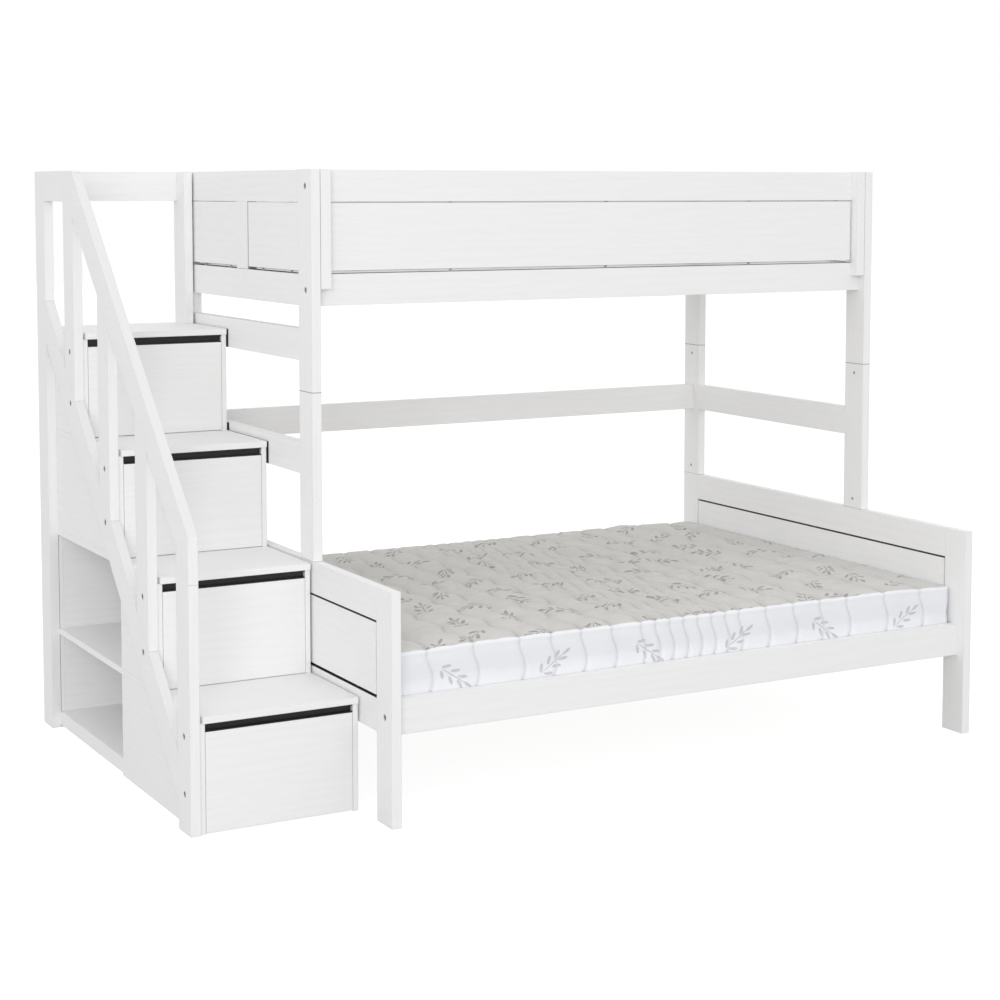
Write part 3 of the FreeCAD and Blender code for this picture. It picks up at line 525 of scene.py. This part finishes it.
def rowPrint(tree, f):
    # one twig every rowPitch at half height, leaning to one side and then to the other
    band = addNode(tree, "UVMap", {"uv_map": "band"}).outputs["UV"]
    count = calc(tree, "DIVIDE", axisOf(tree, band, "X"), f["rowPitch"])
    along = calc(tree, "MULTIPLY", calc(tree, "SUBTRACT", calc(tree, "FRACT", count), 0.5), f["rowPitch"])
    local = addNode(tree, "CombineXYZ", X=along, Y=axisOf(tree, band, "Y")).outputs["Vector"]
    odd = calc(tree, "FLOORED_MODULO", calc(tree, "FLOOR", count), 2.0)
    lean = math.radians(f["rowTurn"])
    return local, calc(tree, "MULTIPLY_ADD", odd, 2 * lean, -lean)


def coverMaterial(name, f, part):
    # Knitted cover: two crossed sines as tiny loops, stitched lines and painted shade along the creases from the
    # mesh's own quilt values, and printed twigs, scattered over the top and in one row round the sides.
    material, tree, shader = startMaterial(name)
    flat = addNode(tree, "UVMap", {"uv_map": "cover"}).outputs["UV"]
    phase, pitch = [addNode(tree, "Attribute", {"attribute_name": key}).outputs["Fac"]
                    for key in ("quiltPhase", "quiltPitch")]
    across, along = axisOf(tree, flat, "X"), axisOf(tree, flat, "Y")
    loops = [calc(tree, "SINE", calc(tree, "MULTIPLY", way, math.tau / f["knitPitch"])) for way in (across, along)]
    knit = calc(tree, "MULTIPLY_ADD", calc(tree, "MULTIPLY", *loops), 0.5, 0.5)
    nearest = calc(tree, "SUBTRACT", calc(tree, "FRACT", calc(tree, "ADD", phase, 0.5)), 0.5)
    away = calc(tree, "MULTIPLY", calc(tree, "ABSOLUTE", nearest), pitch)
    dash = calc(tree, "SINE", calc(tree, "MULTIPLY", along, math.tau / f["dashPitch"]))
    stitch = calc(tree, "MULTIPLY", ramp(tree, away, f["threadInner"], f["threadOuter"], 1.0, 0.0),
                  ramp(tree, dash, f["dashFrom"], f["dashTo"]))
    crease = ramp(tree, away, 0.0, f["creaseReach"], 1.0, 0.0)
    local, turn = scatteredPrint(tree, f, flat) if part == "top" else rowPrint(tree, f)
    turned = addNode(tree, "VectorRotate", {"rotation_type": "Z_AXIS"}, Vector=local, Angle=turn).outputs["Vector"]
    twig = useGroup(tree, "sprig", Vector=vecCalc(tree, "MULTIPLY", turned, (1 / f["printSize"],) * 3))["Mask"]
    ink = addNode(tree, "TexNoise", Vector=flat, Scale=f["inkScale"], Detail=f["inkDetail"]).outputs["Fac"]
    twig = calc(tree, "MULTIPLY", twig, ramp(tree, ink, f["inkFrom"], f["inkTo"], f["inkLeast"], 1.0))
    cloud = useGroup(tree, "handling", Vector=flat, Size=f["cloudSize"])["Cloud"]
    colour = tintMix(tree, weighed(tree, 0.0, (cloud, f["cloudShade"]), (knit, f["knitShade"])),
                     f[f"{part}Tone"], f[f"{part}Shade"])
    colour = tintMix(tree, calc(tree, "MULTIPLY", twig, f[f"{part}Print"]), colour, f["printTone"])
    # painted shade in the creases beside each stitched line
    colour = tintMix(tree, calc(tree, "MULTIPLY", crease, f["creaseShade"]), colour, f[f"{part}Crease"])
    colour = tintMix(tree, stitch, colour, f["threadTone"])
    height = weighed(tree, 0.0, (knit, f["knitHigh"]), (crease, -1.0), (stitch, f["threadHigh"]))
    dress(tree, shader, colour, weighed(tree, f["roughness"], (knit, f["knitRough"])),
          bumped(tree, height, f["depth"], f["bump"]))
    shader.inputs["Sheen Weight"].default_value = f["sheen"]
    shader.inputs["Specular IOR Level"].default_value = f["specular"]
    return material


def meshPiece(name, points, quads, materials, smooth=True, faceMaterial=None):
    # a mesh object at the origin from whole arrays of points and quads
    mesh = bpy.data.meshes.new(name)
    quads = np.asarray(quads, dtype=np.int32)
    mesh.vertices.add(len(points))
    mesh.vertices.foreach_set("co", np.ascontiguousarray(points, dtype=np.float32).ravel())
    mesh.loops.add(quads.size)
    mesh.loops.foreach_set("vertex_index", quads.ravel())
    mesh.polygons.add(len(quads))
    mesh.polygons.foreach_set("loop_start", np.arange(0, quads.size, quads.shape[1], dtype=np.int32))
    mesh.polygons.foreach_set("use_smooth", np.full(len(quads), smooth))
    for material in materials:
        mesh.materials.append(material)
    if faceMaterial is not None:
        mesh.polygons.foreach_set("material_index", faceMaterial.astype(np.int32))
    mesh.update(calc_edges=True)
    mesh.validate()
    piece = bpy.data.objects.new(name, mesh)
    scene.collection.objects.link(piece)
    return piece


def gridQuads(rows, columns, wrap=False):
    # quads between neighbouring rows of a grid that is numbered row by row
    r, c = np.meshgrid(np.arange(rows - 1), np.arange(columns if wrap else columns - 1), indexing="ij")
    right = (c + 1) % columns
    return np.stack([r * columns + c, r * columns + right, (r + 1) * columns + right, (r + 1) * columns + c],
                    axis=-1).reshape(-1, 4)


mattress = {
    "alongCells": 280, "acrossCells": 112, "sideRows": 22,
    "edgeSteps": (0.0, 0.0010, 0.0026, 0.0050, 0.0084, 0.0130, 0.0190),
    "crown": 0.005, "endDrop": 0.007, "endReach": 0.25, "cornerRadius": 0.022, "edgeRadius": 0.017,
    "topRound": 0.55, "bottomRound": 0.5, "skin": 0.0005,
    "stitchLines": (0.024, 0.072, 0.120, 0.168, 0.265, 0.365, 0.462, 0.562, 0.705, 0.845),
    "endLines": (0.07, 0.21, 0.35, 0.49, 0.63),
    "waveHeight": 0.011, "waveLength": 0.168,
    "puff": 1.05, "settle": 0.004, "softRim": 0.02, "channelDepth": 0.005, "channelWidth": 0.009,
    "sag": 0.0012, "sagAlong": (5.1, 1.0), "sagAcross": (6.3, 0.4),       # waves in radians per metre, and start
    "pinch": 0.0035, "belly": 0.0025, "sideDepth": 0.0055, "creaseWidth": 0.0065, "creaseFade": 0.4,
    "seamPlace": 0.012, "seamDepth": 0.0011, "seamWidth": 0.006, "sideWrap": 0.008,
    "clothCells": (180, 132), "heldLine": 0.0055, "heldRim": 0.004, "frames": 20,
    "quality": 4, "clothMass": 0.15, "stretch": 8.0, "shear": 4.0, "bending": 0.6,
    "pressure": 3.0, "spareCloth": 0.025, "quickRise": 0.008, "quickReach": 0.03, "quickPower": 0.6,
}


def linePhase(where, lines):
    # the number of stitched lines passed so far, growing evenly between them, the pitch there, and the
    # distance from the nearest line
    stops = np.concatenate([-np.array(lines[::-1]), np.array(lines)])
    edge = 2 * stops[-1] - stops[-2]
    stops = np.concatenate([[-edge], stops, [edge]])
    pitch = np.diff(stops)[np.clip(np.searchsorted(stops, where) - 1, 0, len(stops) - 2)]
    phase = np.interp(where, stops, np.arange(len(stops), dtype=float))
    return phase, pitch, np.abs(phase - np.round(phase)) * pitch


def quiltPuff(m, a, b):
    # The top as a flat cloth, held along its rim and its stitched lines and pressed up from below by Blender's
    # Cloth; the result is the height over the grid.
    nx, ny = m["clothCells"]
    gx, gy = np.meshgrid(np.linspace(-a, a, nx + 1), np.linspace(-b, b, ny + 1), indexing="ij")
    away = linePhase(gx - m["waveHeight"] * np.sin(math.tau * gy / m["waveLength"]), m["stitchLines"])[2]
    sheet = meshPiece("quiltSheet", np.stack([gx, gy, 0 * gx], axis=-1).reshape(-1, 3),
                      gridQuads(nx + 1, ny + 1)[:, ::-1], [])
    rim = (np.abs(gx) > a - m["heldRim"]) | (np.abs(gy) > b - m["heldRim"])
    pins = sheet.vertex_groups.new(name="stitched")
    pins.add(np.nonzero(((away < m["heldLine"]) | rim).ravel())[0].tolist(), 1.0, "REPLACE")
    cloth = sheet.modifiers.new("filling", "CLOTH")
    cloth.collision_settings.use_collision = False
    setting = cloth.settings
    setting.quality, setting.mass, setting.vertex_group_mass = m["quality"], m["clothMass"], "stitched"
    setting.tension_stiffness = setting.compression_stiffness = m["stretch"]
    setting.shear_stiffness, setting.bending_stiffness = m["shear"], m["bending"]
    setting.use_pressure, setting.uniform_pressure_force = True, m["pressure"]
    setting.shrink_min = -m["spareCloth"]
    setting.effector_weights.gravity = 0.0
    for number in range(1, m["frames"] + 1):
        scene.frame_set(number)
    filled = sheet.evaluated_get(bpy.context.evaluated_depsgraph_get()).to_mesh()
    place = np.empty(3 * len(filled.vertices), dtype=np.float32)
    filled.vertices.foreach_get("co", place)
    scene.frame_set(1)
    data = sheet.data
    bpy.data.objects.remove(sheet, do_unlink=True)
    bpy.data.meshes.remove(data)
    return place.reshape(nx + 1, ny + 1, 3)[..., 2].astype(float)


def readGrid(values, u, v):
    # bilinear reading of a grid at u and v, each from 0 to 1
    rows, columns = values.shape[0] - 1, values.shape[1] - 1
    u, v = np.clip(u, 0, 1) * rows, np.clip(v, 0, 1) * columns
    i, j = np.minimum(u.astype(int), rows - 1), np.minimum(v.astype(int), columns - 1)
    s, t = u - i, v - j
    return ((1 - s) * ((1 - t) * values[i, j] + t * values[i, j + 1])
            + s * ((1 - t) * values[i + 1, j] + t * values[i + 1, j + 1]))


def edgedLine(half, cells, steps):
    # even steps over the middle, and closer ones over the rounding at both ends
    middle = np.linspace(-half + steps[-1], half - steps[-1], cells + 1)[1:-1]
    return np.concatenate([-half + np.array(steps), middle, half - np.array(steps[::-1])])


def makeMattress(m):
    # A grid over the top, its twin under the bottom and rings between their rims. The height is a low crown that
    # falls off towards the rim, plus the filled cloth, less a narrow channel along each wavy stitched line; the
    # sides draw in as half a sine from seam to seam.
    low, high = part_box("mattress")
    a, b = (high[0] - low[0]) / 2, (high[1] - low[1]) / 2
    middle = np.array([(low[0] + high[0]) / 2, (low[1] + high[1]) / 2])
    base, tall = low[2], high[2] - low[2]
    x, y = np.meshgrid(edgedLine(a, m["alongCells"], m["edgeSteps"]),
                       edgedLine(b, m["acrossCells"], m["edgeSteps"]), indexing="ij")
    nx, ny = x.shape[0] - 1, x.shape[1] - 1
    inward = np.minimum(a - np.abs(x), b - np.abs(y)).ravel()
    # plan corners: the corner squares are drawn onto quarter discs
    r = m["cornerRadius"]
    s, t = np.clip((np.abs(x) - (a - r)) / r, 0, 1), np.clip((np.abs(y) - (b - r)) / r, 0, 1)
    x = np.sign(x) * (np.minimum(np.abs(x), a - r) + r * s * np.sqrt(1 - t * t / 2))
    y = np.sign(y) * (np.minimum(np.abs(y), b - r) + r * t * np.sqrt(1 - s * s / 2))

    rim = np.concatenate([np.arange(nx) * (ny + 1), nx * (ny + 1) + np.arange(ny),
                          np.arange(nx, 0, -1) * (ny + 1) + ny, np.arange(ny, 0, -1)])
    flatX, flatY = x.ravel(), y.ravel()
    wave = m["waveHeight"] * np.sin(math.tau * flatY / m["waveLength"])
    phase, pitch, away = linePhase(flatX - wave, m["stitchLines"])
    soft = np.clip(inward / m["softRim"], 0, 1)
    hollow = m["channelDepth"] * np.exp(-(away / m["channelWidth"]) ** 2)
    raised = m["puff"] * readGrid(quiltPuff(m, a, b), (flatX / a + 1) / 2, (flatY / b + 1) / 2)
    crown = m["crown"] * (1 - (flatX / a) ** 2) * (1 - (flatY / b) ** 2)
    rounding = 1 - np.clip(inward / m["edgeRadius"], 0, 1)
    turnIn = m["edgeRadius"] * (1 - np.sqrt(np.clip(1 - rounding ** 2, 0, 1)))
    (rateX, startX), (rateY, startY) = m["sagAlong"], m["sagAcross"]
    sag = m["sag"] * np.sin(rateX * flatX + startX) * np.sin(rateY * flatY + startY)
    endward = np.clip((a - np.abs(flatX)) / m["endReach"], 0, 1)
    endward = m["endDrop"] * (1 - endward * endward * (3 - 2 * endward))
    swell = crown - m["crown"] - endward - turnIn * m["topRound"] + soft * (raised - m["settle"] + sag - hollow)
    top = np.stack([flatX, flatY, tall + swell - m["skin"]], axis=1)
    bottom = np.stack([flatX, flatY, turnIn * m["bottomRound"] + soft * m["skin"]], axis=1)

    # rings down the sides, from just under the top rim to just above the bottom rim
    k = np.arange(1, m["sideRows"]) / m["sideRows"]
    rx, ry = flatX[rim], flatY[rim]
    outX, outY = np.roll(ry, -1) - np.roll(ry, 1), -(np.roll(rx, -1) - np.roll(rx, 1))
    size = np.hypot(outX, outY)
    outX, outY = outX / size, outY / size
    onLong = np.abs(outY) >= np.abs(outX)     # the two long sides, front and back
    drop = k[:, None] * tall
    ripple = m["waveHeight"] * np.sin(math.tau * (b + drop) / m["waveLength"])
    ripple = np.where(onLong[None, :], ripple * np.sign(ry)[None, :], ripple)
    along = np.where(onLong, rx, ry)[None, :] - ripple
    sidePhase, sidePitch, sideAway = [
        np.where(onLong[None, :], onSide, onEnd)
        for onSide, onEnd in zip(linePhase(along, m["stitchLines"]), linePhase(along, m["endLines"]))]
    profile = np.sin(math.pi * k)[:, None]
    seam = sum(np.exp(-(((drop - place) / m["seamWidth"]) ** 2)) for place in (m["seamPlace"], tall - m["seamPlace"]))
    belly = m["belly"] * np.abs(np.sin(2 * math.pi * k))[:, None]
    furrow = m["sideDepth"] * np.exp(-(sideAway / m["creaseWidth"]) ** 2) * profile ** m["creaseFade"]
    out = belly - m["pinch"] * profile - furrow - m["seamDepth"] * seam
    rimTop, rimBottom = top[rim, 2], bottom[rim, 2]
    sx, sy = rx[None, :] + outX[None, :] * out, ry[None, :] + outY[None, :] * out
    sz = rimTop[None, :] * (1 - k[:, None]) + rimBottom[None, :] * k[:, None]
    rings = np.stack([sx, sy, sz], axis=-1).reshape(-1, 3)

    points = np.concatenate([top, bottom, rings]) + np.array([middle[0], middle[1], base])
    n, ringSize = len(top), len(rim)
    topQuads = gridQuads(nx + 1, ny + 1)[:, ::-1]
    bottomQuads = gridQuads(nx + 1, ny + 1) + n
    ringPoints = 2 * n + np.arange((m["sideRows"] - 1) * ringSize).reshape(-1, ringSize)
    ladder = np.concatenate([rim[None, :], ringPoints, n + rim[None, :]])
    sideQuads = ladder.ravel()[gridQuads(m["sideRows"] + 1, ringSize, wrap=True)[:, ::-1]]
    # the side cloth wraps a little way over the top's edge
    wrapped = np.mean(inward[topQuads], axis=1) < m["sideWrap"]
    faceMaterial = np.concatenate([wrapped, np.zeros(len(bottomQuads)), np.ones(len(sideQuads))])
    piece = meshPiece("mattressCover", points, np.concatenate([topQuads, bottomQuads, sideQuads]),
                      [coverTop, coverSide], True, faceMaterial)

    # the cover laid flat: sides fold out beyond the top's edges, and the bottom lies 5 m away
    flat = np.zeros((len(points), 2))
    flat[:n], flat[n:2 * n] = top[:, :2], top[:, :2] + 5.0
    foldX = np.where(onLong[None, :], rx[None, :], np.sign(rx)[None, :] * (a + drop))
    foldY = np.where(onLong[None, :], np.sign(ry)[None, :] * (b + drop), ry[None, :])
    flat[2 * n:] = np.stack([foldX, foldY], axis=-1).reshape(-1, 2)
    # and the band round its sides: the way along it and the height above its middle
    nearLong = b - np.abs(flatY) <= a - np.abs(flatX)
    band = np.zeros((len(points), 2))
    band[:n] = np.stack([np.where(nearLong, flatX, flatY), tall / 2 + inward], axis=1)
    band[2 * n:, 0] = np.broadcast_to(np.where(onLong, rx, ry), drop.shape[:1] + rx.shape).ravel()
    band[2 * n:, 1] = np.broadcast_to(tall / 2 - drop, drop.shape[:1] + rx.shape).ravel()
    loops = np.empty(len(piece.data.loops), dtype=np.int32)
    piece.data.loops.foreach_get("vertex_index", loops)
    for title, place in (("cover", flat), ("band", band)):
        piece.data.uv_layers.new(name=title).data.foreach_set("uv", place[loops].astype(np.float32).ravel())
    for key, onTop, onSide in (("quiltPhase", phase, sidePhase), ("quiltPitch", pitch, sidePitch)):
        values = np.concatenate([onTop, onTop, onSide.ravel()]).astype(np.float32)
        piece.data.attributes.new(key, "FLOAT", "POINT").data.foreach_set("value", values)
    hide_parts("mattress")
    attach(piece, "frame")
    return piece


bolts = {
    "headRadius": 0.008, "headThick": 0.005, "sunk": 0.001, "shankRadius": 0.003, "tip": 0.0006,
    "socket": 0.0052, "socketDeep": 0.0032, "socketRound": 0.0003, "socketRim": 0.0004, "rim": 0.0009, "sides": 36,
    "bedEnds": ((-0.746, 1), (1.230, -1)), "bedReach": 0.076,       # outer face and the way in, through a post
    "bedRows": (((-0.7215, 0.7215), (0.2895,)), ((-0.2215, 0.7215), (1.6815, 1.391))),     # Y places, heights
    "stairFace": -1.230, "stairReach": 0.043, "stairStart": (-0.5265, 0.312), "stairStep": (0.314, 0.312),
    "stairSteps": 4, "stairDrops": (0.056, 0.209),
    "linkFace": -0.767, "linkReach": 0.043, "linkSpots": ((-0.1015, 0.583), (0.7185, 0.416), (0.7185, 0.780)),
}


def boltRings(b, length):
    # the profile from the middle of the hexagon socket round the head and down the shank: radius, depth,
    # and 1 where the ring is hexagonal
    socket, deep, head, shank = b["socket"], b["socketDeep"], b["headRadius"], b["shankRadius"]
    return np.array([
        (0.0, deep, 1), (socket * 0.5, deep, 1), (socket * 0.98, deep, 1),
        (socket, deep - b["socketRound"], 1), (socket, b["socketRim"], 1), (socket + b["socketRim"], 0.0, 1),
        (head - b["rim"] * 1.6, 0.0, 0), (head - b["rim"] * 0.5, b["rim"] * 0.25, 0),
        (head, b["rim"], 0), (head, b["headThick"], 0), (shank, b["headThick"], 0),
        (shank, length - b["tip"], 0), (shank - b["tip"], length, 0), (0.0, length, 0)])


def boltSpots(b):
    # head centres, the way each bolt points and its length: posts into rails, stair posts, and stair to bed
    spots = [(x + way * b["sunk"], y, z, way, b["bedReach"] - b["sunk"])
             for x, way in b["bedEnds"] for rowY, rowZ in b["bedRows"] for y in rowY for z in rowZ]
    (y, z), (run, rise) = b["stairStart"], b["stairStep"]
    spots += [(b["stairFace"] + b["sunk"], y + step * run, z + step * rise - drop, 1, b["stairReach"] - b["sunk"])
              for step in range(b["stairSteps"]) for drop in b["stairDrops"]]
    return spots + [(b["linkFace"], y, z, 1, b["linkReach"]) for y, z in b["linkSpots"]]


def closePoles(piece, reach=1e-6):
    # merges the points that meet at each pole and turns every face outwards
    work = bmesh.new()
    work.from_mesh(piece.data)
    bmesh.ops.remove_doubles(work, verts=work.verts, dist=reach)
    bmesh.ops.recalc_face_normals(work, faces=work.faces)
    work.to_mesh(piece.data)
    work.free()


def makeBolts(b):
    # each bolt is a lathed profile; within the socket the radius follows a hexagon
    angle = np.linspace(0, math.tau, b["sides"], endpoint=False)
    hexagon = math.cos(math.pi / 6) / np.cos((angle % (math.pi / 3)) - math.pi / 6)
    points, quads = [], []
    for x, y, z, way, length in boltSpots(b):
        rings = boltRings(b, length)
        radius = rings[:, :1] * np.where(rings[:, 2:] > 0, hexagon[None, :], 1.0)
        depth = np.repeat(rings[:, 1:2], len(angle), axis=1)
        block = np.stack([x + way * depth, y + radius * np.cos(angle) * way, z + radius * np.sin(angle)], axis=-1)
        quads.append(gridQuads(len(rings), len(angle), wrap=True)[:, ::-1] + len(points) * block[..., 0].size)
        points.append(block.reshape(-1, 3))
    piece = meshPiece("socketBolts", np.concatenate(points), np.concatenate(quads), [metals["zincBolts"]], False)
    closePoles(piece)
    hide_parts("frame_bolts")
    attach(piece, "frame")
    return piece


setCamera(viewpoint)
floor = setStudio(studio)
floor.data.materials.append(floorMaterial(studio))
print("camera, light and floor set")

coverTop, coverSide = [coverMaterial(f"mattress{part.title()}", coverFinish, part) for part in ("top", "side")]
metals = {name: metalMaterial(name, finish) for name, finish in metalFinishes.items()}
run, rise = bolts["stairStep"]
slope = math.degrees(math.atan2(rise, run))
# each with its finish, its turn in degrees, its offset and what is darkened: painted shade in slots, gaps, flanks or
# slopes, or joint lines at seams
pine = {
    "alongX": pineMaterial("limedPineAlongX", limedPine),
    "alongY": pineMaterial("limedPineAlongY", limedPine, (0, 0, -90), 1.3),
    "alongZ": pineMaterial("limedPineAlongZ", limedPine, (0, 90, 0), 2.7),
    "alongSlopeShaded": pineMaterial("limedPineAlongSlopeShaded", limedPine, (0, slope, -90), 4.1, "slopes"),
    "gapShadedY": pineMaterial("limedPineGapShadedY", limedPine, (0, 0, -90), 6.3, "gap"),
    "slotShadedX": pineMaterial("limedPineSlotShadedX", limedPine, (0, 0, 0), 0.8, "allSlots"),
    "slotShadedY": pineMaterial("limedPineSlotShadedY", limedPine, (0, 0, -90), 2.2, "slots"),
    "seamedZ": pineMaterial("limedPineSeamedZ", limedPine, (0, 90, 0), 3.5, "seams"),
    "flankShadedZ": pineMaterial("limedPineFlankShadedZ", limedPine, (0, 90, 0), 4.9, "flanks"),
    "bareX": pineMaterial("planedPineAlongX", planedPine, (0, 0, 0), 5.9),
    "bareY": pineMaterial("planedPineAlongY", planedPine, (0, 0, -90), 7.7),
    "grip": gripMaterial(gripFinish), "spacer": spacerMaterial(spacerFinish), **metals,
}
nodeFinish = {
    "alongX": ("lower_side_rails", "back_middle_rail", "stair_back_rail", "drawer_1_front", "drawer_2_front",
               "drawer_3_front", "drawer_4_front", "stair_partitions", "stair_back_panels", "tread_1", "tread_2",
               "tread_3", "tread_4", "stair_floor_board"),
    "alongY": ("stair_side_rail", "stair_left_boards", "stair_right_boards"),
    "alongZ": ("lower_posts", "front_guard_stiles", "newel_post", "stair_balusters", "stair_top_post",
               "stair_back_post", "landing_post", "dowels"),
    "slotShadedX": ("front_guard_rails", "front_guard_panel", "back_guard_rails", "back_guard_panel"),
    "slotShadedY": ("lower_end_top_rails", "lower_end_bottom_rails", "lower_end_panels", "upper_end_top_rails",
                 "upper_end_bottom_rails", "upper_end_panels"),
    "seamedZ": ("extension_posts", "upper_posts"),
    "gapShadedY": ("end_middle_rails", "left_low_rail"),
    "flankShadedZ": ("upper_end_mullions",),
    "alongSlopeShaded": ("handrail", "stringer"),
    "bareX": ("slat_ledges", "lower_centre_beam"),
    "bareY": ("lower_slats", "upper_slats", "drawer_1_box", "drawer_2_box", "drawer_3_box", "drawer_4_box"),
    "grip": ("drawer_1_grip", "drawer_2_grip", "drawer_3_grip", "drawer_4_grip"),
    "pressedRunners": ("drawer_runners",),
    "zincBolts": ("post_studs", "barrel_nuts", "frame_bolts"),
    "spacer": ("stair_spacers",),
}
for finish, names in nodeFinish.items():
    for name in names:
        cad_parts[name].data.materials.clear()
        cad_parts[name].data.materials.append(pine[finish])
print("materials on", sum(len(names) for names in nodeFinish.values()), "nodes")

makeMattress(mattress)
print("mattress made")
makeBolts(bolts)
print("bolts made")
